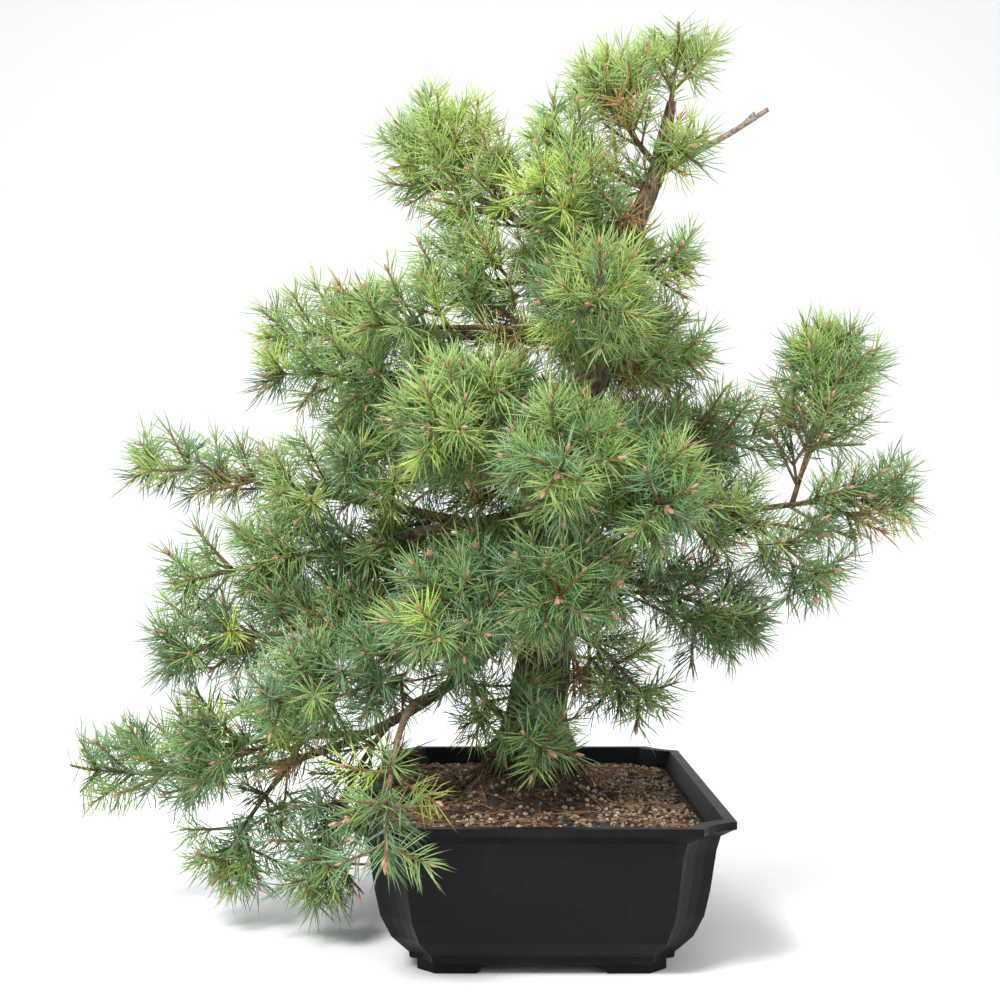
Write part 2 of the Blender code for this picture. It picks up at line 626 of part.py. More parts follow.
class Mass:
    """One mass of foliage: its stem, and the side shoots that fit in its space."""

    def __init__(self, space, spaces, surfaces):
        self.space = space
        self.others = [other for other in spaces if other is not space]
        self.surfaces = surfaces
        self.grown = np.empty((0, 3))

    def clear_of_grown(self, start, end):
        """Whether a needle keeps apart from the shoots grown before, so that few faces cross."""
        line = samples(start, end)
        return not len(self.grown) or np.linalg.norm(line[:, None] - self.grown, axis=2).min() > NEEDLES_APART

    def fits(self, start, end):
        """Whether the line between two points keeps to this mass's space and clear of other limbs."""
        for point in map(Vector, samples(start, end)):
            depth = self.space.depth(point)
            if depth > PROUD or any(other.depth(point) * OWN_SPACE < depth for other in self.others):
                return False
            if self.surfaces.touch(point, self.space.name):
                return False
        return True

    def sprig(self, course, radius, bands):
        """A three-sided twig whose outer end swells to a slim core, with a needle drawn out of
        each of the core's faces where there is room. None where too few needles fit."""
        cut, onward, before = back_from_tip(course, bands * BAND)
        tip = course[-1]
        stations = before + [cut.lerp(tip, i / bands) for i in range(bands + 1)]
        radii = taper(radius, TWIG_RADIUS, len(before) + 1) + [CORE_RADIUS] * bands
        bm = bmesh.new()
        ring = bmesh.ops.create_circle(bm, cap_ends=True, radius=1, segments=3)["verts"]
        corners = [vert.co.copy() for vert in ring]
        front = bm.faces[:]
        onward = (stations[1] - stations[0]).normalized()
        frame = onward.to_track_quat("Z", "Y")
        core = []
        for i, place in enumerate(stations):
            if i:
                step = (place - stations[i - 1]).normalized()
                frame = onward.rotation_difference(step) @ frame
                onward = step
                pulled = bmesh.ops.extrude_face_region(bm, geom=front)["geom"]
                if i > 1:
                    bmesh.ops.delete(bm, geom=front, context="FACES_ONLY")
                ring = [item for item in pulled if isinstance(item, bmesh.types.BMVert)]
                front = [item for item in pulled if isinstance(item, bmesh.types.BMFace)]
            for vert, corner in zip(ring, corners):
                vert.co = place + frame @ (corner * radii[i])
            if i > len(before):
                core += {face for vert in ring for face in vert.link_faces} - set(front)
        bmesh.ops.pointmerge(bm, verts=ring, merge_co=tip)
        bmesh.ops.recalc_face_normals(bm, faces=bm.faces)
        core = [face for face in core if face.is_valid]
        quads = [face for face in core if len(face.verts) == 4]
        faces = [face for face in core if len(face.verts) == 3]
        faces += bmesh.ops.triangulate(bm, faces=quads)["faces"]
        needles = []
        for face in faces:
            centre = face.calc_center_median()
            outward = (face.normal - onward * face.normal.dot(onward)).normalized()
            lean = math.radians(NEEDLE_LEAN)
            end = centre + (outward * math.sin(lean) + onward * math.cos(lean)) * NEEDLE_LENGTH
            if self.fits(centre, end) and self.clear_of_grown(centre, end):
                bmesh.ops.poke(bm, faces=[face])["verts"][0].co = end
                needles.append(samples(centre, end))
        if len(needles) < LEAST_NEEDLES:
            bm.free()
            return None
        self.grown = np.concatenate([self.grown, *needles, samples(cut, tip)])
        return mesh_of(bm)

    def side_shoots(self, stem):
        """The whorls of side shoots from the stem's tip back, each as long as its place allows."""
        rng = random.Random(self.space.name)
        shoots = []
        turn = rng.uniform(0, 360)
        back = FIRST_WHORL
        while back < 2 * self.space.half:
            start, onward, _ = back_from_tip(stem, back)
            across = onward.orthogonal().normalized()
            for _ in range(SHOOTS_PER_WHORL):
                turn += 360 / SHOOTS_PER_WHORL + rng.uniform(-15, 15)
                side = Matrix.Rotation(math.radians(turn), 3, onward) @ across
                spread = math.radians(SHOOT_SPREAD + rng.uniform(-12, 8))
                heading = onward * math.cos(spread) + side * math.sin(spread)
                heading = (heading + Vector((0, 0, SHOOT_LIFT))).normalized()
                room = self.space.way_out(start, heading) - TIP_ROOM
                longest = min(room, SHOOT_LENGTHS[1] * rng.uniform(0.8, 1))
                shoots.append(self.shoot(start, heading, longest))
            turn += 60
            back += WHORL_STEP
        return [shoot for shoot in shoots if shoot]

    def shoot(self, start, heading, longest):
        """The longest side shoot that fits, of a few lengths tried. None where none does."""
        for share in (1.0, 0.8, 0.64):
            length = longest * share
            if length < SHOOT_LENGTHS[0]:
                return None
            if self.fits(start, start + heading * length):
                grown = self.sprig([start, start + heading * length], TWIG_RADIUS, SHOOT_BANDS)
                if grown:
                    return grown
        return None


def make_limbs(collection, trunk, surfaces):
    """The boughs, then the masses of foliage, each round its own stem."""
    courses = {}
    skins = {"trunk": skin_of(trunk.data)}
    stems = {}
    spaces = []
    for limb in LIMBS:
        course = courses[limb.name] = limb_course(limb, courses)
        radius = root_radius(limb)
        if limb.bare:
            bare, stem = split_course(course, limb.bare)
            bare = seated(bare, radius, skins[limb.stock])
            mesh = tube(bare, taper(radius, STEM_RADIUS, len(bare)), SIDES_OF_A_BOUGH)
            new_object("bough_" + limb.name, mesh, "pine_bark", collection)
            skins[limb.name] = skin_of(mesh)
            surfaces.add("bough_" + limb.name, mesh)
            radius = STEM_RADIUS
        else:
            stem = seated(course, radius, skins[limb.stock])
        stems[limb.name] = (stem, radius)
        foot_point = share_of(course, max(limb.bare, LEAFY_FROM))
        spaces.append(Space(limb.name, foot_point, course[-1], limb.girth))
        guard = taper(radius + STEM_GUARD, TWIG_RADIUS + STEM_GUARD, len(stem))
        surfaces.add(limb.name, tube(stem, guard, 4))
    for space in spaces:
        stem, radius = stems[space.name]
        mass = Mass(space, spaces, surfaces)
        bands = max(SHOOT_BANDS, round(space.half / BAND))
        main_sprig = mass.sprig(stem, radius, bands)
        made = new_object("foliage_" + space.name, main_sprig, "pine_foliage", collection)
        side_shoots = mass.side_shoots(stem)
        if side_shoots:
            join(made, side_shoots)


def centre_on_origin(collection):
    """Parents everything to one stand, and moves it until the plant's middle is above the origin."""
    corners = [vert.co for made in collection.objects for vert in made.data.vertices]
    stand = bpy.data.objects.new("stand", None)
    collection.objects.link(stand)
    middles = [(min(c[i] for c in corners) + max(c[i] for c in corners)) / 2 for i in range(2)]
    stand.location = (-middles[0], -middles[1], 0)
    for made in collection.objects:
        if made is not stand:
            made.parent = stand
    print("The container's middle is at", [round(-middle, 4) for middle in middles])


def main():
    for old in list(bpy.data.objects):
        bpy.data.objects.remove(old)
    collection = bpy.data.collections.new("potted_scots_pine")
    bpy.context.scene.collection.children.link(collection)
    make_pot(collection)
    make_soil(collection)
    trunk = make_trunk(collection)
    make_dead_limb(collection, trunk)
    make_label(collection)
    surfaces = Surfaces()
    for made in collection.objects:
        surfaces.add(made.name, made.data)
    make_limbs(collection, trunk, surfaces)
    centre_on_origin(collection)


main()
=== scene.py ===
# %% [markdown]
# A potted Scots pine, kept small as a bonsai in training.
# The plain solids of the plant are already there as a frame, and this lesson dresses them: bark
# with relief on trunk and limbs, fine needles in place of broad blades, and loose soil.
# The frame is loaded first, and its box is measured, because the plant may not outgrow it.

import math
import random
from collections import namedtuple

import bmesh
import bpy
import numpy as np
from mathutils import Matrix, Vector, noise
from mathutils.bvhtree import BVHTree


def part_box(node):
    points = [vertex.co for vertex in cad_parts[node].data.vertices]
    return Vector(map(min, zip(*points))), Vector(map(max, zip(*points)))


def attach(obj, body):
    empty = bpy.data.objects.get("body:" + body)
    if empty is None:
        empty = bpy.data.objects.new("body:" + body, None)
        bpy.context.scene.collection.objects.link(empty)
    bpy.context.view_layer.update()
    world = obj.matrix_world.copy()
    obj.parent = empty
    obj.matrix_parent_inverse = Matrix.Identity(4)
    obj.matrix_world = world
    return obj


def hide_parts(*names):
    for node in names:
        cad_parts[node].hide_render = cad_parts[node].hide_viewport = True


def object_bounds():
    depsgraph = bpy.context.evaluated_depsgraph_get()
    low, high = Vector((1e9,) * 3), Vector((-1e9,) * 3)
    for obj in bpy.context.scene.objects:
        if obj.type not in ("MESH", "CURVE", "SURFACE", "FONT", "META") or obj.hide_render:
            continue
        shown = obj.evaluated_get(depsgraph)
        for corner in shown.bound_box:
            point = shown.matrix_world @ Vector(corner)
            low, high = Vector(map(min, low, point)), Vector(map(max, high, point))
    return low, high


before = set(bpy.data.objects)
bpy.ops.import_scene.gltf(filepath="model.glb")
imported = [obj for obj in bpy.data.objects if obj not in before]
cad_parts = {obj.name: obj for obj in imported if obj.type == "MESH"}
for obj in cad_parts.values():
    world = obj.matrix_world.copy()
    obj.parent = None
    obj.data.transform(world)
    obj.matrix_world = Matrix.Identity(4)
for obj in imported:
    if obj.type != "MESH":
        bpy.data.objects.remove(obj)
solid_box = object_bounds()
BODY = "root"
pot_low, pot_high = (Vector(corner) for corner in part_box("pot"))
POT = Vector(((pot_low.x + pot_high.x) / 2, (pot_low.y + pot_high.y) / 2, 0))
print("the container's middle is at", [round(value, 4) for value in POT])

# %% [markdown]
# The camera stands low in front of the plant and looks a little up, so that the crown rises
# above the eye and the container's rim is seen from above. A wide lens close by would draw the
# near needles too large, so a longer lens is used from further away.

# %% Camera
CAMERA_AT = Vector((-0.045, -1.839, 0.464))
CAMERA_PITCH = 1.4
LENS = 54
SENSOR_WIDTH = 36
camera_data = bpy.data.cameras.new("camera")
camera_data.lens = LENS
camera_data.sensor_width = SENSOR_WIDTH
camera = bpy.data.objects.new("camera", camera_data)
camera.location = POT + CAMERA_AT
camera.rotation_euler = (math.radians(90 + CAMERA_PITCH), 0, 0)
bpy.context.scene.collection.objects.link(camera)
bpy.context.scene.camera = camera
print("camera at", [round(value, 3) for value in camera.location])

# %% [markdown]
# Meshes here are made of arrays. A crown holds tens of thousands of needles, and a loop that adds
# them one by one would be slow, so one helper turns arrays of points and triangles into an
# object, with a material slot for each triangle. Hair or instances would be quick to add, but
# they don't leave a mesh that can be used elsewhere.

# %% Arrays to objects
def mesh_object(name, points, faces, slots, materials, smooth=True):
    """An object from arrays: points (n, 3), triangles (m, 3) and each triangle's material slot."""
    mesh = bpy.data.meshes.new(name)
    mesh.vertices.add(len(points))
    mesh.vertices.foreach_set("co", np.asarray(points, np.float32).ravel())
    mesh.loops.add(3 * len(faces))
    mesh.loops.foreach_set("vertex_index", np.asarray(faces, np.int32).ravel())
    mesh.polygons.add(len(faces))
    mesh.polygons.foreach_set("loop_start", np.arange(0, 3 * len(faces), 3, dtype=np.int32))
    mesh.polygons.foreach_set("material_index", np.asarray(slots, np.int32))
    mesh.polygons.foreach_set("use_smooth", np.full(len(faces), smooth))
    mesh.update(calc_edges=True)
    mesh.validate()
    for material in materials:
        mesh.materials.append(material)
    made = bpy.data.objects.new(name, mesh)
    bpy.context.scene.collection.objects.link(made)
    print(name, "has", len(faces), "triangles")
    return made


def gather(parts):
    """Several (points, triangles, slots) made one, the later triangles counted on."""
    points, faces, slots = [], [], []
    start = 0
    for some_points, some_faces, some_slots in parts:
        points.append(some_points)
        faces.append(some_faces + start)
        slots.append(some_slots)
        start += len(some_points)
    return np.concatenate(points), np.concatenate(faces), np.concatenate(slots)


# %% [markdown]
# The finishes are sums of noises. Their nodes could be added one by one, which takes many lines.
# Here a small class wraps a node's output, so that plain expressions add the Math nodes, and one
# method adds any other node. What is the same all over is set on the shader itself.

# %% Shader maths
class Value:
    """A node's output. Its operators add Math nodes."""

    def __init__(self, finish, socket):
        self.finish = finish
        self.socket = socket

    def math(self, operation, first, second):
        return self.finish.node("ShaderNodeMath", {"operation": operation}, {0: first, 1: second})

    def __add__(self, other):
        return self.math("ADD", self, other)

    def __sub__(self, other):
        return self.math("SUBTRACT", self, other)

    def __rsub__(self, other):
        return self.math("SUBTRACT", other, self)

    def __mul__(self, other):
        return self.math("MULTIPLY", self, other)

    __radd__ = __add__
    __rmul__ = __mul__


class Finish:
    """A material under way, with its nodes and its shader."""

    def __init__(self, name, roughness=0.6, **sockets):
        self.material = bpy.data.materials.new(name)
        self.material.use_nodes = True
        self.nodes = self.material.node_tree.nodes
        self.shader = self.nodes["Principled BSDF"]
        self.feed(self.shader.inputs["Roughness"], roughness)
        for socket, value in sockets.items():
            self.feed(self.shader.inputs[socket.replace("_", " ")], value)

    def feed(self, socket, value):
        if isinstance(value, Value):
            self.material.node_tree.links.new(value.socket, socket)
        elif isinstance(value, tuple) and len(value) == 3 and socket.type == "RGBA":
            socket.default_value = (*value, 1)
        else:
            socket.default_value = value

    def node(self, kind, settings, sockets, output=0):
        made = self.nodes.new(kind)
        for key, value in settings.items():
            if key == "stops":
                for element, (position, shade) in zip(made.color_ramp.elements, value):
                    element.position = position
                    element.color = (shade, shade, shade, 1)
            else:
                setattr(made, key, value)
        for key, value in sockets.items():
            self.feed(made.inputs[key], value)
        return Value(self, made.outputs[output])

    def place(self):
        return self.node("ShaderNodeTexCoord", {}, {}, "Object")

    def noise(self, scale, detail=4.0, roughness=0.6, stretch=(1, 1, 1)):
        place = self.node("ShaderNodeMapping", {}, {"Vector": self.place(), "Scale": stretch})
        sockets = {"Vector": place, "Scale": scale, "Detail": detail, "Roughness": roughness}
        return self.node("ShaderNodeTexNoise", {}, sockets)

    def ramp(self, value, low, high):
        """0 below low, 1 above high."""
        return self.node("ShaderNodeValToRGB", {"stops": [(low, 0), (high, 1)]}, {"Fac": value})

    def mix(self, factor, first, second):
        sockets = {0: factor, 6: first, 7: second}
        return self.node("ShaderNodeMix", {"data_type": "RGBA"}, sockets, 2)

    def bump(self, height, distance, strength=1.0):
        sockets = {"Height": height, "Distance": distance, "Strength": strength}
        self.feed(self.shader.inputs["Normal"], self.node("ShaderNodeBump", {}, sockets))

    def colour(self, value):
        self.feed(self.shader.inputs["Base Color"], value)


# %% [markdown]
# The container is moulded black plastic, matt from its fine grain, with pale dust in faint
# patches and small scuffs. The solid's own shape is right, so it keeps its mesh and only gets
# this finish, and a narrow bevel that lets its edges catch the light as moulded edges do.
# The dust could be painted on, but noise has no seams and needs no unwrapping.

# %% Container
CLEAN_BLACK = (0.0045, 0.0045, 0.0052)
DUSTY_BLACK = (0.018, 0.019, 0.021)
SCUFFED_GREY = (0.045, 0.045, 0.047)
MOULDED_EDGE = 0.0009
EDGE_FROM_ANGLE = 28
plastic = Finish("matt_black_plastic", Specular_IOR_Level=0.12)
dust = plastic.ramp(plastic.noise(9.0, 6.0, 0.65), 0.50, 0.78)
streaks = plastic.ramp(plastic.noise(26.0, 5.0, 0.7, (1, 1, 0.35)), 0.58, 0.80)
dusty = plastic.mix(dust * 0.40, CLEAN_BLACK, DUSTY_BLACK)
plastic.colour(plastic.mix(streaks * 0.14, dusty, SCUFFED_GREY))
plastic.feed(plastic.shader.inputs["Roughness"], 0.48 + dust * 0.22)
plastic.bump(plastic.noise(900.0, 2.0), 0.0004, 0.35)
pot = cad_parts["pot"]
for material_slot in pot.material_slots:
    material_slot.material = plastic.material
bevel = pot.modifiers.new("moulded edge", "BEVEL")
bevel.width = MOULDED_EDGE
bevel.segments = 2
bevel.limit_method = "ANGLE"
bevel.angle_limit = math.radians(EDGE_FROM_ANGLE)
print("the container's edges are rounded by", 1000 * MOULDED_EDGE, "mm")

# %% [markdown]
# The trunk's course is a list of heights, with the lean to the right and the radius at each. A
# limb leaves the trunk at a height, or another limb at a share of its way, and its tip lies at a
# heading, a reach and a rise from there. A generator of trees would give some pine, but not this
# one, so the limbs are rows of a table, and only the finer growth is left to chance.

# %% The tree in numbers
TRUNK_COURSE = [
    (0.170, -0.010, 0.0480),
    (0.209, -0.006, 0.0430),
    (0.240, -0.002, 0.0375),
    (0.285, 0.004, 0.0345),
    (0.335, 0.012, 0.0320),
    (0.390, 0.020, 0.0295),
    (0.450, 0.029, 0.0270),
    (0.510, 0.038, 0.0245),
    (0.570, 0.047, 0.0225),
    (0.630, 0.060, 0.0205),
    (0.690, 0.074, 0.0190),
    (0.750, 0.089, 0.0170),
    (0.810, 0.105, 0.0155),
    (0.860, 0.126, 0.0140),
    (0.905, 0.146, 0.0120),
    (0.950, 0.156, 0.0095),
    (1.000, 0.167, 0.0065),
]
# at is a height on the trunk in metres, or a share of another limb. bend and lift say where and how
# far the limb bows, bare is its share without foliage, and girth is half the width of its mass.
Limb = namedtuple("Limb", "name stock at heading reach rise bend lift bare girth")
LIMBS = [
    Limb("apex", "trunk", 0.985, 0, 0.017, 0.112, 0.5, 0.000, 0.00, 0.060),
    Limb("top_left_tip", "trunk", 0.920, 190, 0.078, 0.138, 0.8, -0.040, 0.00, 0.066),
    Limb("top_left", "trunk", 0.890, 192, 0.150, 0.080, 0.5, 0.000, 0.00, 0.062),
    Limb("top_right", "trunk", 0.932, 312, 0.070, 0.004, 0.5, 0.000, 0.00, 0.046),
    Limb("upper_spur", "trunk", 0.800, 174, 0.280, 0.182, 0.7, -0.055, 0.34, 0.086),
    Limb("upper_left", "trunk", 0.770, 184, 0.252, 0.010, 0.5, 0.000, 0.00, 0.074),
    Limb("upper_mid", "trunk", 0.830, 214, 0.165, 0.055, 0.5, 0.000, 0.00, 0.080),
    Limb("upper_right", "trunk", 0.790, 335, 0.106, 0.004, 0.5, 0.015, 0.00, 0.058),
    Limb("upper_back", "trunk", 0.800, 110, 0.230, 0.050, 0.5, 0.000, 0.00, 0.080),
    Limb("mid_far_left", "trunk", 0.700, 176, 0.426, 0.019, 0.5, 0.010, 0.54, 0.064),
    Limb("mid_left", "trunk", 0.715, 197, 0.315, -0.002, 0.5, 0.000, 0.00, 0.074),
    Limb("mid_front", "trunk", 0.720, 262, 0.250, -0.005, 0.5, 0.015, 0.00, 0.080),
    Limb("mid_right", "trunk", 0.690, 345, 0.142, -0.010, 0.5, 0.015, 0.00, 0.070),
    Limb("mid_back", "trunk", 0.690, 76, 0.280, 0.035, 0.5, 0.010, 0.00, 0.085),
    Limb("left_upper_arm", "trunk", 0.640, 186, 0.408, 0.020, 0.5, 0.020, 0.00, 0.058),
    Limb("left_arm", "trunk", 0.455, 177, 0.545, 0.108, 0.5, 0.008, 0.62, 0.050),
    Limb("left_inner", "trunk", 0.525, 190, 0.372, -0.006, 0.5, 0.020, 0.00, 0.082),
    Limb("front_left", "trunk", 0.600, 234, 0.320, -0.020, 0.5, 0.020, 0.00, 0.084),
    Limb("front_mid", "trunk", 0.570, 264, 0.330, -0.045, 0.5, 0.025, 0.00, 0.080),
    Limb("front_right", "trunk", 0.540, 290, 0.285, -0.050, 0.5, 0.025, 0.00, 0.080),
    Limb("right_inner", "trunk", 0.560, 4, 0.262, 0.032, 0.5, 0.010, 0.00, 0.066),
    Limb("right_mid", "trunk", 0.476, 352, 0.330, -0.008, 0.5, 0.034, 0.00, 0.074),
    Limb("back_left", "trunk", 0.590, 145, 0.390, 0.000, 0.5, 0.020, 0.00, 0.088),
    Limb("back_right", "trunk", 0.550, 55, 0.330, 0.010, 0.5, 0.020, 0.00, 0.088),
    Limb("right_arm", "trunk", 0.425, 0, 0.448, 0.088, 0.5, 0.050, 0.70, 0.062),
    Limb("right_leader", "right_arm", 0.68, 6, 0.072, 0.224, 0.5, 0.000, 0.14, 0.072),
    Limb("right_drop", "right_arm", 0.50, 330, 0.135, -0.092, 0.5, 0.020, 0.16, 0.072),
    Limb("front_low", "trunk", 0.425, 268, 0.275, -0.030, 0.5, 0.020, 0.00, 0.080),
    Limb("back_low", "trunk", 0.430, 95, 0.270, -0.030, 0.5, 0.020, 0.00, 0.088),
    Limb("right_low", "trunk", 0.420, 352, 0.256, -0.071, 0.5, 0.030, 0.00, 0.085),
    Limb("right_hang", "trunk", 0.365, 322, 0.160, -0.108, 0.6, 0.030, 0.00, 0.070),
    Limb("left_low_far", "trunk", 0.500, 183, 0.490, -0.095, 0.5, 0.010, 0.00, 0.070),
    Limb("low_left", "trunk", 0.390, 189, 0.482, -0.065, 0.5, 0.010, 0.50, 0.070),
    Limb("low_left_back", "trunk", 0.440, 157, 0.410, -0.080, 0.5, 0.020, 0.00, 0.080),
    Limb("low_left_front", "trunk", 0.360, 209, 0.385, -0.090, 0.5, 0.030, 0.00, 0.074),
    Limb("front_low_left", "trunk", 0.455, 238, 0.310, -0.100, 0.5, 0.020, 0.00, 0.078),
    Limb("far_left", "trunk", 0.420, 180, 0.598, -0.250, 0.36, -0.200, 0.70, 0.060),
    Limb("far_left_mid", "far_left", 0.48, 204, 0.235, -0.012, 0.5, 0.010, 0.12, 0.074),
    Limb("hanging_left", "far_left", 0.42, 234, 0.160, -0.195, 0.6, 0.050, 0.18, 0.078),
    Limb("bottom_left", "far_left", 0.62, 214, 0.116, -0.146, 0.6, 0.020, 0.20, 0.070),
    Limb("pot_front", "far_left", 0.34, 266, 0.362, -0.130, 0.95, 0.150, 0.72, 0.064),
    Limb("base_front", "far_left", 0.25, 302, 0.210, -0.085, 0.3, -0.020, 0.24, 0.060),
]
LIMB_RADIUS = 0.0032
LIMB_RADIUS_PER_REACH = 0.0085
FORK_THINNER = 0.8
COURSE_STEPS = 7
LEAFY_FROM = 0.12
TIP_ROOM = 0.026
TWIG_RADIUS = 0.0013
print(len(LIMBS), "limbs")


# %% [markdown]
# A limb's course is a curve with one control point, which is enough for the bow of a real limb. A
# curve object could hold it, but the foliage is worked out from the same points, so they are
# plain vectors, in the container's frame.

# %% Courses of trunk and limbs
def toward(heading, lift=0.0):
    angle = math.radians(heading)
    return Vector((math.cos(angle), math.sin(angle), lift))


def trunk_at(z):
    """The trunk's axis and radius at a height, before it is moved to its place."""
    for (low, x_low, r_low), (high, x_high, r_high) in zip(TRUNK_COURSE, TRUNK_COURSE[1:]):
        if z <= high:
            share = (z - low) / (high - low)
            return Vector((x_low + share * (x_high - x_low), 0, z)), r_low + share * (r_high - r_low)
    return Vector((TRUNK_COURSE[-1][1], 0, TRUNK_COURSE[-1][0])), TRUNK_COURSE[-1][2]


def bend_through(start, control, end, share):
    return start.lerp(control, share).lerp(control.lerp(end, share), share)


def share_of(course, share):
    """The point at a share of the way along a course of even shares."""
    steps = len(course) - 1
    i = min(int(share * steps), steps - 1)
    return course[i].lerp(course[i + 1], share * steps - i)


def limb_course(limb):
    """The limb's course from its stock's middle to its tip, as points at even shares."""
    start = trunk_at(limb.at)[0] if limb.stock == "trunk" else share_of(courses[limb.stock], limb.at)
    tip = start + toward(limb.heading) * limb.reach + Vector((0, 0, limb.rise))
    tip -= (tip - start).normalized() * TIP_ROOM
    control = start.lerp(tip, limb.bend) + Vector((0, 0, limb.lift))
    return [bend_through(start, control, tip, i / COURSE_STEPS) for i in range(COURSE_STEPS + 1)]


courses = {}
for limb in LIMBS:
    courses[limb.name] = limb_course(limb)
print("longest reach", max(limb.reach for limb in LIMBS), "m")

# %% [markdown]
# Bark is relief before it is colour. The trunk is a stack of many-sided rings, and each point is
# moved out or in by ridged noise: long plates, deep low down and shallower where the trunk is
# thin. Six surface roots widen the foot, and the healed pruning wound is a raised lip round a
# hollow. A displacement modifier would need a finer mesh for the same edges.

# %% Bark relief
TRUNK_SIDES = 72
TRUNK_RING_STEP = 0.0042
TRUNK_FOOT_Z = 0.2092
BARK_INSET = 0.0006
PLATE_DEEP = 0.0022
PLATE_SCALE, PLATE_STRETCH = 95, 2.2
FULL_PLATES_FROM = 0.030
COARSE, FINE, FINER_BY = 0.65, 0.35, 2.7


def relief(point, scale, stretch):
    """Scales of bark: ridged noise, drawn out upward. From about -1 to 1."""
    place = Vector((point.x, point.y, point.z / stretch)) * scale
    plates = 1 - 2 * abs(noise.noise(place))
    return COARSE * plates + FINE * noise.noise(place * FINER_BY)


def skin(rings):
    """Triangles between rings of as many points each, and fans over both ends."""
    count, around = len(rings), len(rings[0])
    points = np.array([tuple(point) for ring in rings for point in ring])
    row = np.arange(around)
    after = (row + 1) % around
    faces = []
    for i in range(count - 1):
        low, high = i * around, (i + 1) * around
        faces.append(np.stack([low + row, low + after, high + after], 1))
        faces.append(np.stack([low + row, high + after, high + row], 1))
    for start, turned in ((0, True), ((count - 1) * around, False)):
        fan = np.stack([np.full(around - 2, start), start + row[1:-1], start + row[2:]], 1)
        faces.append(fan[:, ::-1] if turned else fan)
    faces = np.concatenate(faces)
    return points, faces, np.zeros(len(faces), int)


# %% The trunk's foot and wound
# each root's heading in degrees, and how far it stands out
ROOTS = [(15, 0.010), (80, 0.013), (150, 0.012), (205, 0.014), (275, 0.011), (330, 0.013)]
ROOT_SWELL = 1.25
ROOT_HALF_WIDTH = 21
FLARE_HEIGHT, FLARE_POWER = 0.045, 1.6
WOUND_Z = 0.246
WOUND_HEADING = 298
WOUND_RADIUS = 0.0155
LIP_HIGH, LIP_WIDTH = 0.0062, 0.34
HOLLOW_DEEP, HOLLOW_WIDTH = 0.013, 0.62
SMOOTH_WITHIN = 1.4


def trunk_ring(z):
    axis, radius = trunk_at(z)
    ring = []
    low_down = max(0.0, 1 - (z - TRUNK_FOOT_Z) / FLARE_HEIGHT)
    for i in range(TRUNK_SIDES):
        heading = 360 * i / TRUNK_SIDES
        out = toward(heading)
        swell = 0.0
        for root, size in ROOTS:
            apart = abs((heading - root + 180) % 360 - 180)
            swell += ROOT_SWELL * size * math.exp(-((apart / ROOT_HALF_WIDTH) ** 2)) * low_down**FLARE_POWER
        across = radius * math.radians((heading - WOUND_HEADING + 180) % 360 - 180)
        from_wound = math.hypot(across, z - WOUND_Z) / WOUND_RADIUS
        lip = LIP_HIGH * math.exp(-(((from_wound - 1.0) / LIP_WIDTH) ** 2))
        hollow = -HOLLOW_DEEP * math.exp(-((from_wound / HOLLOW_WIDTH) ** 4))
        deep = PLATE_DEEP * min(1.0, radius / FULL_PLATES_FROM)
        plate = deep * relief(out * radius + Vector((0, 0, z)), PLATE_SCALE, PLATE_STRETCH)
        plain = min(1.0, from_wound / SMOOTH_WITHIN)
        ring.append(POT + axis + out * (radius - BARK_INSET + swell + lip + hollow + plate * plain))
    return ring


heights = [TRUNK_FOOT_Z]
while heights[-1] < TRUNK_COURSE[-1][0]:
    heights.append(min(heights[-1] + TRUNK_RING_STEP, TRUNK_COURSE[-1][0]))
trunk_rings = [trunk_ring(z) for z in heights]
print(len(trunk_rings), "rings in the trunk")

# %% [markdown]
# Pine bark is grey-brown and cracked on an old trunk, and thin and orange-brown on younger wood.
# One finish serves for all of it, each time with its own colours: a noise drawn out upward parts
# pale ridges from dark cracks, and a broader one deals out two colours of plates. A photographed
# bark would show its repeats on so small a trunk.

# %% Bark finish
def bark_finish(name, plate, scale_colour, crack, grain):
    bark = Finish(name)
    ridges = bark.ramp(bark.noise(grain, 6.0, 0.68, (1, 1, 0.42)), 0.40, 0.62)
    patches = bark.ramp(bark.noise(grain * 0.35, 3.0), 0.40, 0.60)
    upper = bark.mix(patches, plate, scale_colour)
    bark.colour(bark.mix(ridges, crack, upper))
    bark.feed(bark.shader.inputs["Roughness"], 0.92 - ridges * 0.18)
    bark.bump(bark.noise(grain * 2.2, 8.0, 0.7, (1, 1, 0.5)), 0.0016, 0.9)
    return bark.material


old_bark = bark_finish(
    "old_bark", (0.190, 0.135, 0.095), (0.250, 0.140, 0.080), crack=(0.045, 0.028, 0.018), grain=150.0
)
limb_bark = bark_finish(
    "limb_bark", (0.215, 0.150, 0.100), (0.300, 0.165, 0.085), crack=(0.070, 0.042, 0.026), grain=260.0
)
trunk = mesh_object("trunk_bark", *skin(trunk_rings), [old_bark])
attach(trunk, BODY)
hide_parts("trunk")

# %% [markdown]
# The limbs are tubes that taper along their courses, with knobs of bark. A bevelled curve would
# be shorter to write, but it has round sections only, so the rings are made here, each turned
# as little as possible from the one before, which keeps the bark from twisting.

# %% Limbs
LIMB_SIDES = 10
LIMB_ROUGH = 0.16
LIMB_RING_STEP = 0.009
FEWEST_RINGS = 8
LIMB_FOOT = 1.08
KNOB_SCALE, KNOB_STRETCH = 60, 1.5


def frames_along(course):
    """A frame at each point of a course, turned as little as possible from one to the next."""
    steps = [(b - a).normalized() for a, b in zip(course, course[1:])]
    onward = [steps[0]] + [(a + b).normalized() for a, b in zip(steps, steps[1:])] + [steps[-1]]
    turned = [onward[0].to_track_quat("Z", "Y")]
    for before, after in zip(onward, onward[1:]):
        turned.append(before.rotation_difference(after) @ turned[-1])
    return turned


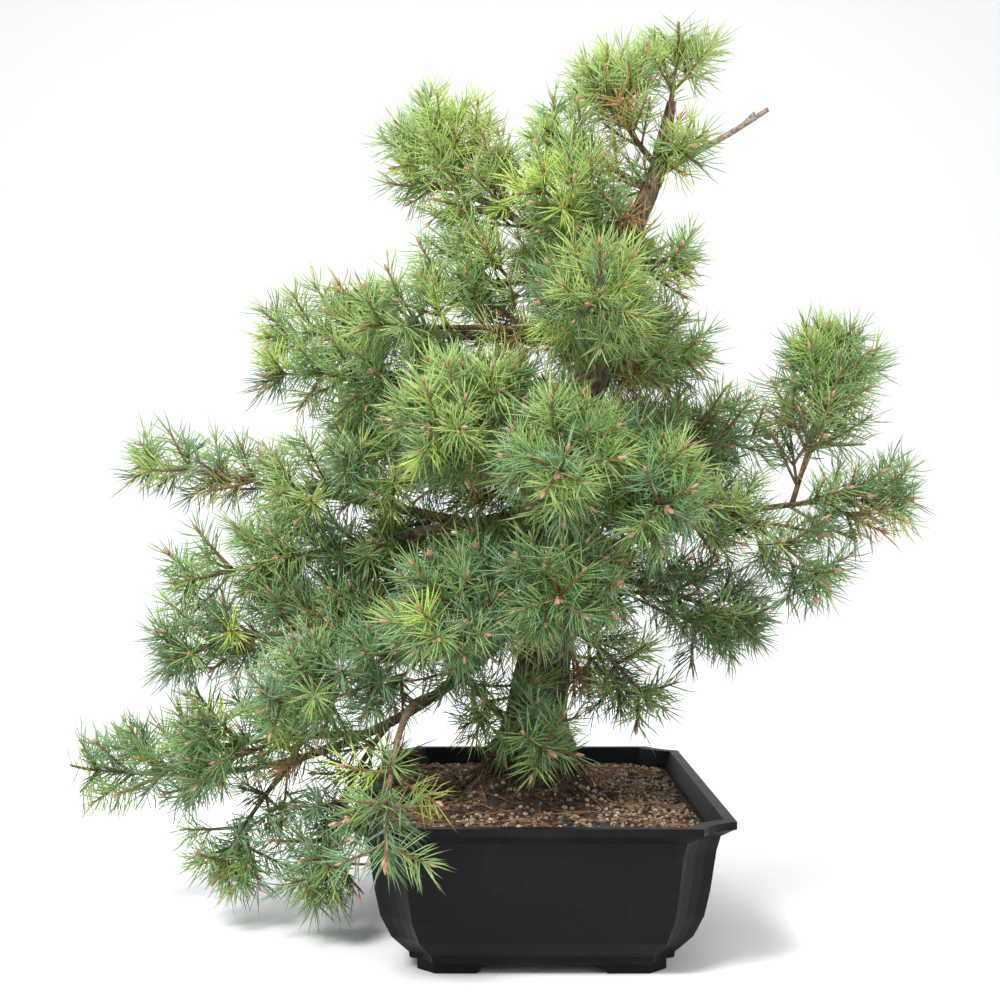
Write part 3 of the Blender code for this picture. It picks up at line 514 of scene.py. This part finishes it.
def limb_tube(course, first, last, sides, rough):
    """A tapering limb with bark, as rings along its course."""
    rings = []
    for i, (place, turned) in enumerate(zip(course, frames_along(course))):
        radius = first + (last - first) * i / (len(course) - 1)
        ring = []
        for k in range(sides):
            out = turned @ toward(360 * k / sides)
            knobs = 1 + rough * relief(place * 3 + out * radius, KNOB_SCALE, KNOB_STRETCH)
            ring.append(POT + place + out * radius * knobs)
        rings.append(ring)
    return skin(rings)


def smooth_course(course, count):
    """The same course with more points on it, rounded by a spline through them."""
    made = []
    for i in range(count + 1):
        t = i / count * (len(course) - 1)
        k = min(int(t), len(course) - 2)
        f = t - k
        a, b, c, d = (course[min(max(j, 0), len(course) - 1)] for j in (k - 1, k, k + 1, k + 2))
        straight = 2 * b + (c - a) * f
        bowed = (2 * a - 5 * b + 4 * c - d) * f**2
        turning = (3 * b - a - 3 * c + d) * f**3
        made.append(0.5 * (straight + bowed + turning))
    return made


limb_parts = []
for limb in LIMBS:
    thick = LIMB_RADIUS + LIMB_RADIUS_PER_REACH * limb.reach
    thick *= 1.0 if limb.stock == "trunk" else FORK_THINNER
    fine = smooth_course(courses[limb.name], max(FEWEST_RINGS, round(limb.reach / LIMB_RING_STEP)))
    limb_parts.append(limb_tube(fine, thick * LIMB_FOOT, TWIG_RADIUS, LIMB_SIDES, LIMB_ROUGH))
limbs = mesh_object("limb_bark", *gather(limb_parts), [limb_bark])
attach(limbs, BODY)
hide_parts(*[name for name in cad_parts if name.startswith("bough_")])

# %% [markdown]
# A dead limb, bleached by the sun, points up to the right and ends in a broken fork. It has lost
# its bark, but it is a tapering tube all the same, so the limbs' helper serves again, with more
# rings, and a grey-brown finish with fine cracks takes the place of bark.

# %% Dead limb
# height, distance from the trunk's middle, radius
DEAD_LIMB = [(0.908, 0.0, 0.0048), (0.938, 0.050, 0.0040), (0.962, 0.093, 0.0034), (0.991, 0.139, 0.0028)]
DEAD_SPUR = [(0.970, 0.106, 0.0028), (0.987, 0.122, 0.0020)]
LIMB_RINGS, SPUR_RINGS = 26, 8
DEAD_SIDES = 12
DEAD_ROUGH = 0.14
CRACK_BROWN = (0.120, 0.088, 0.062)
BLEACHED_GREY = (0.330, 0.262, 0.200)
dead = Finish("bleached_wood", roughness=0.8)
cracks = dead.ramp(dead.noise(300.0, 5.0, 0.6), 0.42, 0.60)
dead.colour(dead.mix(cracks, CRACK_BROWN, BLEACHED_GREY))
dead.bump(dead.noise(520.0, 5.0), 0.0008, 0.7)
root_x = trunk_at(DEAD_LIMB[0][0])[0].x
dead_parts = []
for rows, rings in ((DEAD_LIMB, LIMB_RINGS), (DEAD_SPUR, SPUR_RINGS)):
    course = smooth_course([Vector((root_x + out, 0, z)) for z, out, _ in rows], rings)
    dead_parts.append(limb_tube(course, rows[0][2], rows[-1][2], DEAD_SIDES, DEAD_ROUGH))
dead_limb = mesh_object("dead_limb_wood", *gather(dead_parts), [dead.material])
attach(dead_limb, BODY)
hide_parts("dead_limb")

# %% [markdown]
# The plant label is a strip of yellow plastic, tied in a loop with its tag hanging at the front.
# It is left blank. Its solid is already as thin and as bent as the strip, so it keeps its mesh.

# %% Label
yellow = Finish("yellow_plastic", roughness=0.45)
faded = yellow.ramp(yellow.noise(120.0), 0.45, 0.65)
yellow.colour(yellow.mix(faded, (0.700, 0.420, 0.020), (0.860, 0.560, 0.035)))
for material_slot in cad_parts["label_tie"].material_slots:
    material_slot.material = yellow.material
print("label finished")

# %% [markdown]
# Foliage grows in masses, each round its own limb and in its own space, a long blunt egg. Where
# two eggs meet, a point belongs to the mass that it lies deeper in. So every mass can grow by
# the same rule without running into its neighbours, and the gaps between the masses stay open.
# Cutting one large crown apart would give the same gaps, but it would leave cut shoots.

# %% Spaces of the masses
OWN_SPACE = 0.96
NEEDLE_ROOM = 0.016
SKIN_DEPTH = 1.04
LINE_FROM, LINE_POINTS = 0.2, 5
WAY_FROM, WAY_POINTS = 0.004, 30
names = [limb.name for limb in LIMBS]
egg_centres, egg_axes, egg_halves, egg_girths = [], [], [], []
for limb in LIMBS:
    course = courses[limb.name]
    foot_point = share_of(course, max(limb.bare, LEAFY_FROM))
    egg_centres.append((foot_point + course[-1]) / 2)
    egg_axes.append((course[-1] - foot_point).normalized())
    egg_halves.append((course[-1] - foot_point).length / 2 + TIP_ROOM)
    egg_girths.append(limb.girth)
egg_centres, egg_axes = np.array(egg_centres), np.array(egg_axes)
egg_halves, egg_girths = np.array(egg_halves), np.array(egg_girths)


def depths(points):
    """How deep each point lies in each egg: 0 in the middle, 1 on the skin."""
    away = points[:, None] - egg_centres
    along = (away * egg_axes).sum(2)
    across = np.sqrt(np.maximum(0, (away**2).sum(2) - along**2))
    return ((along / egg_halves) ** 4 + (across / egg_girths) ** 4) ** 0.25


def line(start, end):
    shares = np.linspace(LINE_FROM, 1, LINE_POINTS)[:, None]
    return np.array(start) * (1 - shares) + np.array(end) * shares


def fits(mass, start, end):
    """Whether a shoot stays in its own mass's egg, and deeper there than in any other."""
    found = depths(line(start, end))
    mine = found[:, mass]
    rivals = np.delete(found, mass, 1).min(1) * OWN_SPACE
    return bool((mine < SKIN_DEPTH).all() and (rivals > mine).all())


def way_out(mass, start, heading, furthest):
    """How far it is from here to the egg's skin."""
    steps = np.linspace(WAY_FROM, furthest, WAY_POINTS)
    inside = depths(np.array(start) + steps[:, None] * np.array(heading))[:, mass] < 1
    return steps[-1] if inside.all() else steps[inside.argmin()]


print("the largest egg is", round(2 * egg_halves.max(), 2), "m long")

# %% [markdown]
# Shoots stand in whorls round the stem, from the tip back, as pines grow: a ring of side shoots
# each year. They lean outward and lift towards the light. A long side shoot carries a whorl of
# its own. A shoot that would leave its space is shortened, and skipped where nothing is left.
# Scattered shoots would fill the space too, but the whorls are what makes the tufts.

# %% Shoots
Shoot = namedtuple("Shoot", "mass points needled inner")
SHOOT_LONGEST = 0.125
SHOOT_LEAST = 0.022
SHORTER_BY = (1.0, 0.75, 0.5)
LENGTH_VARIES = (0.72, 1.0)
NEEDLED = (0.030, 0.048)
SHOOT_TURN_UP = 0.10
SECOND_FROM = 0.070
SECOND_LONGEST = 0.055
SECOND_COUNT = 3
SECOND_ONWARD, SECOND_OUT, SECOND_UP = 0.72, 0.65, 0.12


def point_back(course, distance):
    """The point this far back from the end of a course, and the direction there."""
    for i in range(len(course) - 1, 0, -1):
        step = course[i] - course[i - 1]
        if distance <= step.length or i == 1:
            return course[i] - step.normalized() * min(distance, step.length), step.normalized()
        distance -= step.length


def bent(start, heading, length):
    """A shoot's course, which turns up a little towards its tip."""
    end = start + heading * length + Vector((0, 0, SHOOT_TURN_UP * length))
    middle = start + heading * (0.5 * length)
    return [bend_through(start, middle, end, i / 4) for i in range(5)]


def side_shoot(mass, start, heading, rng, longest, inner, shoots):
    """Adds a side shoot as long as its space allows, and the whorl on it."""
    room = way_out(mass, start, heading, longest + NEEDLE_ROOM) - NEEDLE_ROOM
    length = min(room, longest * rng.uniform(*LENGTH_VARIES))
    for share in SHORTER_BY:
        if length * share < SHOOT_LEAST:
            return
        if fits(mass, start, start + heading * (length * share)):
            break
    else:
        return
    length *= share
    points = bent(start, heading, length)
    shoots.append(Shoot(mass, points, min(length, rng.uniform(*NEEDLED)), inner))
    if length > SECOND_FROM:
        turn = rng.uniform(0, 360)
        for k in range(SECOND_COUNT):
            across = heading.orthogonal().normalized()
            side = Matrix.Rotation(math.radians(turn + 360 / SECOND_COUNT * k), 3, heading) @ across
            onward = heading * SECOND_ONWARD + side * SECOND_OUT + Vector((0, 0, SECOND_UP))
            begin = points[1].lerp(points[2], rng.random())
            side_shoot(mass, begin, onward.normalized(), rng, SECOND_LONGEST, inner, shoots)


# %% Whorls of a mass
WHORL_STEP = 0.041
WHORL_STEP_VARIES = (0.85, 1.15)
FIRST_WHORL = 0.014
NEXT_WHORL_TURNED = 36
SHOOTS_PER_WHORL = 4
SHOOT_SPREAD = 54
SHOOT_UP = 0.20
STEM_POINTS = 24
LEADER_POINTS_BACK = (0.075, 0.055, 0.035, 0.018, 0.0)


def grow(mass):
    """All the shoots of one mass: its stem's own tip, and its whorls."""
    limb = LIMBS[mass]
    rng = random.Random(limb.name)
    stem = smooth_course(courses[limb.name], STEM_POINTS)
    leafy = 2 * egg_halves[mass] - TIP_ROOM
    leader = [point_back(stem, back)[0] for back in LEADER_POINTS_BACK]
    shoots = [Shoot(mass, leader, LEADER_POINTS_BACK[0], 0.0)]
    turn = rng.uniform(0, 360)
    back = FIRST_WHORL
    while back < leafy:
        start, onward = point_back(stem, back)
        across = onward.orthogonal().normalized()
        for _ in range(SHOOTS_PER_WHORL):
            turn += 360 / SHOOTS_PER_WHORL + rng.uniform(-18, 18)
            side = Matrix.Rotation(math.radians(turn), 3, onward) @ across
            spread = math.radians(SHOOT_SPREAD + rng.uniform(-18, 12))
            heading = onward * math.cos(spread) + side * math.sin(spread) + Vector((0, 0, SHOOT_UP))
            side_shoot(mass, start, heading.normalized(), rng, SHOOT_LONGEST, back / leafy, shoots)
        turn += NEXT_WHORL_TURNED
        back += WHORL_STEP * rng.uniform(*WHORL_STEP_VARIES)
    return shoots


all_shoots = [shoot for mass in range(len(LIMBS)) for shoot in grow(mass)]
print(len(all_shoots), "shoots")

# %% [markdown]
# The needles are the look of a pine. Each is a slim three-sided spike with a bend in its middle,
# nine triangles, which stays round and opaque from every side; a flat card with a picture on it
# would be lighter, but it vanishes when seen from its edge. The needles stand all round the outer
# part of each shoot and lean forward, so that a shoot reads as a bottle brush. All those of a
# shoot are worked out at once, as arrays.

# %% Spikes
# The corners of a spike: 0 to 2 at its foot, 3 to 5 at its bend, and 6, its tip.
SPIKE = [(0, 1, 4), (0, 4, 3), (1, 2, 5), (1, 5, 4), (2, 0, 3), (2, 3, 5), (3, 4, 6), (4, 5, 6), (5, 3, 6)]
SPIKE = np.array(SPIKE)
FOOT_WIDTH, BEND_WIDTH = 0.8, 1.0


def unit(vectors):
    return vectors / np.maximum(np.linalg.norm(vectors, axis=1, keepdims=True), 1e-9)


def spikes(base, mid, tip, radius):
    """Three-sided bent spikes: a ring at the base, a ring at the bend, and the tip."""
    onward = unit(tip - base)
    helper = np.where(np.abs(onward[:, 2:3]) < 0.9, np.array([[0, 0, 1.0]]), np.array([[1.0, 0, 0]]))
    first = unit(np.cross(onward, helper))
    second = np.cross(onward, first)
    corners = []
    for centre, width in ((base, FOOT_WIDTH), (mid, BEND_WIDTH)):
        for angle in (0, 2 * math.pi / 3, 4 * math.pi / 3):
            out = first * math.cos(angle) + second * math.sin(angle)
            corners.append(centre + out * (radius * width)[:, None])
    points = np.stack(corners + [tip], 1)
    faces = SPIKE[None] + 7 * np.arange(len(base))[:, None, None]
    return points.reshape(-1, 3), faces.reshape(-1, 3)


# %% Needles of a shoot
NEEDLE_STEP = 0.00092
NEEDLE_LENGTH = (0.030, 0.044)
NEEDLE_RADIUS = 0.00076
NEEDLE_BEND_AT = 0.55
NEEDLE_BOW = (-0.05, 0.09)
TIP_DRIFT = (-0.03, 0.08)
LEAN_AT_TIP, LEAN_MORE, LEAN_VARIES = 26, 34, 9
LEAN_GROWS = 2.6
TIPWARD = 0.85
SHADED_FROM, SHADED_COUNT = 0.6, 0.75


def needles_of(shoot, rng):
    """Bases, bends and tips of the needles on one shoot, in the container's frame."""
    course = np.array([tuple(point) for point in shoot.points])
    steps = np.linalg.norm(np.diff(course, axis=0), axis=1)
    reach = np.concatenate([[0], np.cumsum(steps)])
    count = int(shoot.needled / NEEDLE_STEP)
    if shoot.inner > SHADED_FROM:
        count = int(count * SHADED_COUNT)
    at = reach[-1] - shoot.needled * rng.random(count) ** TIPWARD
    at = np.clip(at, 0, reach[-1])
    base = np.stack([np.interp(at, reach, course[:, i]) for i in range(3)], 1)
    onward = unit(course[-1:] - course[-3:-2])
    helper = np.array([[0.31, 0.55, 0.77]])
    first = unit(np.cross(onward, helper))
    second = np.cross(onward, first)
    angle = rng.random(count) * 2 * math.pi
    side = first * np.cos(angle)[:, None] + second * np.sin(angle)[:, None]
    behind = (reach[-1] - at) / max(shoot.needled, 1e-6)
    lean = LEAN_AT_TIP + LEAN_MORE * np.minimum(1, behind * LEAN_GROWS)
    lean = np.radians(lean + rng.normal(0, LEAN_VARIES, count))
    heading = unit(onward * np.cos(lean)[:, None] + side * np.sin(lean)[:, None])
    length = rng.uniform(*NEEDLE_LENGTH, count)[:, None]
    bow = side * rng.uniform(*NEEDLE_BOW, count)[:, None] * length
    mid = base + heading * length * NEEDLE_BEND_AT + bow
    tip = base + heading * length + onward * length * rng.uniform(*TIP_DRIFT, count)[:, None]
    return base, mid, tip


# %% [markdown]
# The green changes through the crown: yellow-green in the sun at the top, plain green in the middle
# and deep and blue-green low down, with a few lime sprays, and some olive and rusty ones near the
# trunk. The lighter greens high up are partly painted light and the darker ones low down partly
# painted shade, laid over the needles' own mix of greens. These colours have a place, so they are
# plain base colours dealt out shoot by shoot. A noise would set two colours on one shoot, which a
# pine doesn't have.

# %% Greens
GREENS = [
    ("lime", (0.400, 0.545, 0.100)),
    ("yellow_green", (0.330, 0.450, 0.120)),
    ("fresh_green", (0.270, 0.410, 0.125)),
    ("mid_green", (0.165, 0.295, 0.082)),
    ("deep_green", (0.095, 0.180, 0.060)),
    ("blue_green", (0.165, 0.290, 0.140)),
    ("olive", (0.310, 0.310, 0.070)),
    ("rusty", (0.380, 0.190, 0.060)),
]
LIME, OLIVE, RUSTY = 0, 6, 7
# the tables by height put lighter greens high and darker ones low: partly painted light and shade, partly
# the needles' own greens
HIGH, MIDDLE, LOW = (0, 1, 1, 2, 2, 3), (1, 2, 2, 3, 3, 4), (2, 3, 3, 4, 5, 5)
HIGH_FROM, MIDDLE_FROM = 0.66, 0.3
CROWN_FOOT, CROWN_HEIGHT = 0.25, 0.75
DYING_FROM, DYING_CHANCE, OLIVE_CHANCE, LIME_CHANCE = 0.55, 0.16, 0.65, 0.04
greens = []
for green, shade in GREENS:
    needle_finish = Finish("needles_" + green, roughness=0.48)
    needle_finish.shader.inputs["Base Color"].default_value = (*shade, 1)
    greens.append(needle_finish.material)


def green_of(shoot, rng):
    """The slot of a shoot's green, by its height and how far inside the crown it is."""
    if shoot.inner > DYING_FROM and rng.random() < DYING_CHANCE:
        return OLIVE if rng.random() < OLIVE_CHANCE else RUSTY
    if rng.random() < LIME_CHANCE:
        return LIME
    # the height picks the band, lighter high up and darker low down, which is partly painted light and
    # shade
    height = shoot.points[-1].z
    share = min(1, max(0, (height - CROWN_FOOT) / CROWN_HEIGHT + rng.uniform(-0.18, 0.18)))
    table = HIGH if share > HIGH_FROM else MIDDLE if share > MIDDLE_FROM else LOW
    return int(table[rng.integers(len(table))])


print(len(greens), "greens")

# %% [markdown]
# No needle's tip may leave the plant's box, or stand in the container's wall or in the soil, so
# the needles that would are left out, which is quicker than bending them aside. The rest is
# joined into a few pieces, by groups of masses, because one piece would be too heavy.

# %% Needle pieces
GROUPS = 6
NEEDLE_SEED = 40
RADIUS_VARIES = (0.85, 1.1)
WALL_ROOM = 0.003
SOIL_TOP, MOUND_HEIGHT, MOUND_REACH = 0.168, 0.04, 0.14
POT_HALF = Vector(((pot_high.x - pot_low.x) / 2, (pot_high.y - pot_low.y) / 2))
low_corner, high_corner = np.array(solid_box[0]), np.array(solid_box[1])
group_of = [i * GROUPS // len(LIMBS) for i in range(len(LIMBS))]
origin = np.array(POT)


def clear_of_all(tip):
    """Which of the tips lie in the plant's box, and above the soil wherever they are over the container."""
    placed = tip + origin
    inside = ((placed > low_corner) & (placed < high_corner)).all(1)
    over_pot = (np.abs(tip[:, 0]) < POT_HALF.x + WALL_ROOM) & (np.abs(tip[:, 1]) < POT_HALF.y + WALL_ROOM)
    heap = MOUND_HEIGHT * np.clip(1 - np.hypot(tip[:, 0], tip[:, 1]) / MOUND_REACH, 0, 1)
    return inside & ~(over_pot & (tip[:, 2] < SOIL_TOP + heap))


needle_total = 0
for group in range(GROUPS):
    parts = []
    rng = np.random.default_rng(NEEDLE_SEED + group)
    for shoot in all_shoots:
        if group_of[shoot.mass] != group:
            continue
        base, mid, tip = needles_of(shoot, rng)
        keep = clear_of_all(tip)
        if not keep.any():
            continue
        radius = rng.uniform(*RADIUS_VARIES, keep.sum()) * NEEDLE_RADIUS
        points, faces = spikes(base[keep] + origin, mid[keep] + origin, tip[keep] + origin, radius)
        parts.append((points, faces, np.full(len(faces), green_of(shoot, rng))))
        needle_total += int(keep.sum())
    piece = mesh_object("needles_%d" % (group + 1), *gather(parts), greens)
    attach(piece, BODY)
    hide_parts(*["foliage_" + name for i, name in enumerate(names) if group_of[i] == group])
print(needle_total, "needles")

# %% [markdown]
# Under the needles are the twigs, orange-brown and rough from the scars of shed needles. They are
# the limbs' tubes again with four sides, as little more shows of them. At their tips sit the
# winter buds, pointed and pink-brown, the largest at the ends of the limbs with smaller ones
# round them. A bud is a few rings, because a sphere has no point.

# %% Finishes of twigs and buds
twig_bark = bark_finish(
    "twig_bark", (0.270, 0.150, 0.070), (0.340, 0.190, 0.080), crack=(0.120, 0.062, 0.030), grain=420.0
)
bud_scales = Finish("bud_scales", roughness=0.6)
pale_scales = bud_scales.ramp(bud_scales.noise(700.0), 0.42, 0.60)
bud_scales.colour(bud_scales.mix(pale_scales, (0.340, 0.150, 0.085), (0.560, 0.330, 0.220)))
print("twigs and buds have their finishes")

# %% Twigs and buds
TWIG_FOOT = 0.0021
TWIG_SIDES = 4
TWIG_ROUGH = 0.12
# share of the bud's length, share of its radius
BUD_SHAPE = [(0.0, 0.55), (0.30, 1.0), (0.74, 0.66), (1.0, 0.08)]
BUD_SIDES = 5
BUD_ROOM = 0.02
LARGE_BUD, SMALL_BUD = (0.016, 0.021), (0.007, 0.012)
BUD_WIDTH, SIDE_BUD_WIDTH = 0.21, 0.15
SIDE_BUDS, SIDE_BUDS_CHANCE = 3, 0.15
SIDE_BUD_LEAN, SIDE_BUD_LENGTH = 0.55, 0.62
twig_parts, bud_parts = [], []
bud_rng = random.Random("buds")


def bud(start, heading, length, radius):
    turned = heading.to_track_quat("Z", "Y")
    rings = []
    for along, wide in BUD_SHAPE:
        centre = POT + start + heading * (along * length)
        around = [turned @ toward(360 * k / BUD_SIDES) * (wide * radius) for k in range(BUD_SIDES)]
        rings.append([centre + out for out in around])
    bud_parts.append(skin(rings))


for shoot in all_shoots:
    twig_parts.append(limb_tube(shoot.points, TWIG_FOOT, TWIG_RADIUS, TWIG_SIDES, TWIG_ROUGH))
    tip = shoot.points[-1]
    placed = np.array(tip + POT)
    if np.any(placed + BUD_ROOM > high_corner) or np.any(placed - BUD_ROOM < low_corner):
        continue
    heading = (shoot.points[-1] - shoot.points[-2]).normalized()
    large = shoot.inner == 0.0
    length = bud_rng.uniform(*LARGE_BUD) if large else bud_rng.uniform(*SMALL_BUD)
    bud(tip, heading, length, length * BUD_WIDTH)
    if large or bud_rng.random() < SIDE_BUDS_CHANCE:
        for k in range(SIDE_BUDS):
            across = heading.orthogonal().normalized()
            side = Matrix.Rotation(math.radians(360 / SIDE_BUDS * k), 3, heading) @ across
            side_heading = (heading + side * SIDE_BUD_LEAN).normalized()
            bud(tip, side_heading, length * SIDE_BUD_LENGTH, length * SIDE_BUD_WIDTH)
for name, parts, material in (("twigs", twig_parts, twig_bark), ("buds", bud_parts, bud_scales.material)):
    piece = mesh_object(name, *gather(parts), [material])
    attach(piece, BODY)

# %% [markdown]
# The soil is a free-draining mix, and it shows as loose grains: pale tan pumice, dark peat in
# the middle, reddish bark chips and dead needles. Bump alone would leave it flat from the side,
# so the grains are stones of twenty faces, dropped onto the soil's solid with a ray. The solid
# itself is seen between them, and gets the finish of wet peat.

# %% Peat under the grains
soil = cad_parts["soil"]
peat = Finish("dark_peat", roughness=0.95)
crumbs = peat.ramp(peat.noise(90.0, 8.0, 0.7), 0.38, 0.66)
peat.colour(peat.mix(crumbs, (0.018, 0.011, 0.007), (0.100, 0.060, 0.036)))
peat.bump(peat.noise(240.0, 8.0, 0.75), 0.004, 1.0)
for material_slot in soil.material_slots:
    material_slot.material = peat.material
soil_tree = BVHTree.FromPolygons(
    [vert.co for vert in soil.data.vertices], [face.vertices for face in soil.data.polygons]
)
soil_low, soil_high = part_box("soil")
print("the soil reaches up to", round(soil_high[2], 3), "m")

# %% Colours of the grains
GRAIN_COLOURS = [
    ("pale_pumice", (0.520, 0.420, 0.300)),
    ("tan_pumice", (0.360, 0.250, 0.150)),
    ("grey_grit", (0.260, 0.220, 0.180)),
    ("red_bark_chip", (0.170, 0.070, 0.036)),
    ("brown_bark_chip", (0.090, 0.048, 0.026)),
    ("peat_crumb", (0.032, 0.020, 0.013)),
    ("dead_needle", (0.300, 0.150, 0.060)),
]
CHIPS, MIXED, PEAT_CRUMB, DEAD_NEEDLE = (3, 4, 4), (0, 1, 1, 2, 5, 5), 5, 6
DARKER = 0.62
grain_finishes = []
for grain, shade in GRAIN_COLOURS:
    stone = Finish(grain, roughness=0.9)
    darker = tuple(DARKER * value for value in shade)
    stone.colour(stone.mix(stone.ramp(stone.noise(420.0, 4.0), 0.40, 0.62), darker, shade))
    grain_finishes.append(stone.material)
print(len(grain_finishes), "finishes of grains")

# %% [markdown]
# The stone is a regular solid of twenty faces. Its twelve corners are those of three golden
# rectangles that cross at right angles, and the skin stretched over them gives the faces. Each
# grain then gets its own size, flatness and lumps.

# %% A stone
golden = (1 + math.sqrt(5)) / 2
rectangle = np.array([(x, y * golden, 0) for x in (-1, 1) for y in (-1, 1)])
corners = unit(np.concatenate([rectangle[:, [2, 0, 1]], rectangle[:, [0, 1, 2]], rectangle[:, [1, 2, 0]]]))
shape = bmesh.new()
for corner in corners:
    shape.verts.new(corner)
bmesh.ops.convex_hull(shape, input=shape.verts)
bmesh.ops.triangulate(shape, faces=shape.faces)
shape.verts.index_update()
STONE = np.array([tuple(vert.co) for vert in shape.verts])
STONE_FACES = np.array([[vert.index for vert in face.verts] for face in shape.faces])
shape.free()
print("a stone has", len(STONE_FACES), "faces")

# %% Grains on the soil
GRAINS, NEEDLES_SHED = 5200, 420
GRAIN_SIZE = (0.0018, 0.0042)
CHIP_LARGER = 1.4
CHIP_FLAT, STONE_FLAT = 0.45, 0.75
SUNK = 0.2
GRAIN_MARGIN, SHED_MARGIN = 0.004, 0.02
LOWEST_SOIL = 0.12
DROP_FROM = 0.5
PEAT_REACH, PEAT_CHANCE = 0.10, 0.55
SOIL_HALF = 0.18
CHIPS_MIDDLE, CHIPS_LESS = 0.30, 0.25
grain_rng = random.Random("grains")
grain_parts = []


def dropped(x, y):
    """Where a ray from above meets the soil, or None."""
    return soil_tree.ray_cast(Vector((x, y, DROP_FROM)), Vector((0, 0, -1)))[0]


def somewhere(margin):
    x = grain_rng.uniform(soil_low[0] + margin, soil_high[0] - margin)
    y = grain_rng.uniform(soil_low[1] + margin, soil_high[1] - margin)
    return x, y


def kind_of_grain(x, y):
    """Peat in the middle, more bark chips to the left, and a mix elsewhere."""
    right = (x - POT.x) / SOIL_HALF
    middle = math.hypot(x - POT.x, y - POT.y) < PEAT_REACH
    if middle and grain_rng.random() < PEAT_CHANCE:
        return PEAT_CRUMB
    if grain_rng.random() < CHIPS_MIDDLE - CHIPS_LESS * right:
        return grain_rng.choice(CHIPS)
    return grain_rng.choice(MIXED)


def lay(place, size, flat, slot):
    turned = Matrix.Rotation(grain_rng.uniform(0, 6.28), 3, "Z")
    turned = turned @ Matrix.Rotation(grain_rng.uniform(-0.4, 0.4), 3, "X")
    rough = np.array([grain_rng.uniform(0.78, 1.15) for _ in STONE])[:, None]
    sides = np.array([size, size * grain_rng.uniform(0.6, 1), size * flat])
    points = (STONE * rough * sides) @ np.array(turned).T
    grain_parts.append((points + np.array(place), STONE_FACES, np.full(len(STONE_FACES), slot)))


for _ in range(GRAINS):
    x, y = somewhere(GRAIN_MARGIN)
    place = dropped(x, y)
    if place is None or place.z < LOWEST_SOIL:
        continue
    slot = kind_of_grain(x, y)
    chip = slot in CHIPS
    size = grain_rng.uniform(*GRAIN_SIZE) * (CHIP_LARGER if chip else 1.0)
    lay(place + Vector((0, 0, SUNK * size)), size, CHIP_FLAT if chip else STONE_FLAT, slot)
print(len(grain_parts), "grains")

# %% Shed needles
SHED_HALF_LENGTH = 0.019
SHED_RADIUS = 0.00065
SHED_LIFT = Vector((0, 0, 0.0035))
SHED_BOW = 1.4
for _ in range(NEEDLES_SHED):
    x, y = somewhere(SHED_MARGIN)
    place, onward = dropped(x, y), toward(grain_rng.uniform(0, 360)) * SHED_HALF_LENGTH
    if place is None or place.z < LOWEST_SOIL:
        continue
    ends = [dropped(x + s * onward.x, y + s * onward.y) for s in (-1, 1)]
    if None in ends:
        continue
    base, tip = (np.array([tuple(end + SHED_LIFT)]) for end in ends)
    middle = np.array([tuple(place + SHED_LIFT * SHED_BOW)])
    points, faces = spikes(base, middle, tip, np.array([SHED_RADIUS]))
    grain_parts.append((points, faces, np.full(len(faces), DEAD_NEEDLE)))
grains = mesh_object("soil_grains", *gather(grain_parts), grain_finishes, smooth=False)
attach(grains, BODY)

# %% [markdown]
# A pale sweep stands in for the studio: floor and back wall in one curve, with no line between
# them, as photographers hang paper. Light comes from large soft panels, the strongest from the
# upper left front, because small lamps would draw hard shadows of every needle. An even pale sky
# fills the shadows.

# %% Sweep
SWEEP_WIDTH = 16.0
FLOOR_FRONT, FLOOR_BACK = -7.0, 2.5
SWEEP_RADIUS = 2.0
WALL_TOP = 7.0
profile = [(FLOOR_FRONT, 0.0), (FLOOR_BACK, 0.0)]
for degrees in range(10, 91, 10):
    angle = math.radians(degrees)
    height = SWEEP_RADIUS - SWEEP_RADIUS * math.cos(angle)
    profile.append((FLOOR_BACK + SWEEP_RADIUS * math.sin(angle), height))
profile.append((FLOOR_BACK + SWEEP_RADIUS, WALL_TOP))
sweep_points = np.array([(side * SWEEP_WIDTH / 2, y, z) for y, z in profile for side in (-1, 1)])
sweep_faces = []
for i in range(len(profile) - 1):
    a = 2 * i
    sweep_faces += [(a, a + 1, a + 3), (a, a + 3, a + 2)]
backdrop = Finish("pale_backdrop", roughness=0.9)
backdrop.colour((0.86, 0.86, 0.86))
sweep_slots = np.zeros(len(sweep_faces), int)
sweep = mesh_object("studio_sweep", sweep_points, np.array(sweep_faces), sweep_slots, [backdrop.material])

# %% Light
SKY = (0.95, 0.97, 1.0, 1)
SKY_STRENGTH = 0.66
CROWN_MIDDLE = Vector((0, 0, 0.55))
PANELS = [
    ("key_light", (-1.4, -2.2, 2.9), 1.0, 165),
    ("fill_light", (2.4, -1.8, 1.6), 2.2, 30),
    ("wall_light", (0.0, 0.9, 4.2), 3.0, 105),
]
world = bpy.data.worlds.new("studio")
world.use_nodes = True
sky = world.node_tree.nodes["Background"]
sky.inputs["Color"].default_value = SKY
sky.inputs["Strength"].default_value = SKY_STRENGTH
bpy.context.scene.world = world
for name, place, size, power in PANELS:
    light = bpy.data.lights.new(name, "AREA")
    light.shape = "SQUARE"
    light.size = size
    light.energy = power
    made = bpy.data.objects.new(name, light)
    made.location = place
    made.rotation_euler = (CROWN_MIDDLE - made.location).to_track_quat("-Z", "Y").to_euler()
    bpy.context.scene.collection.objects.link(made)
bpy.context.scene.view_settings.view_transform = "Standard"
print(len(PANELS), "panels of light")
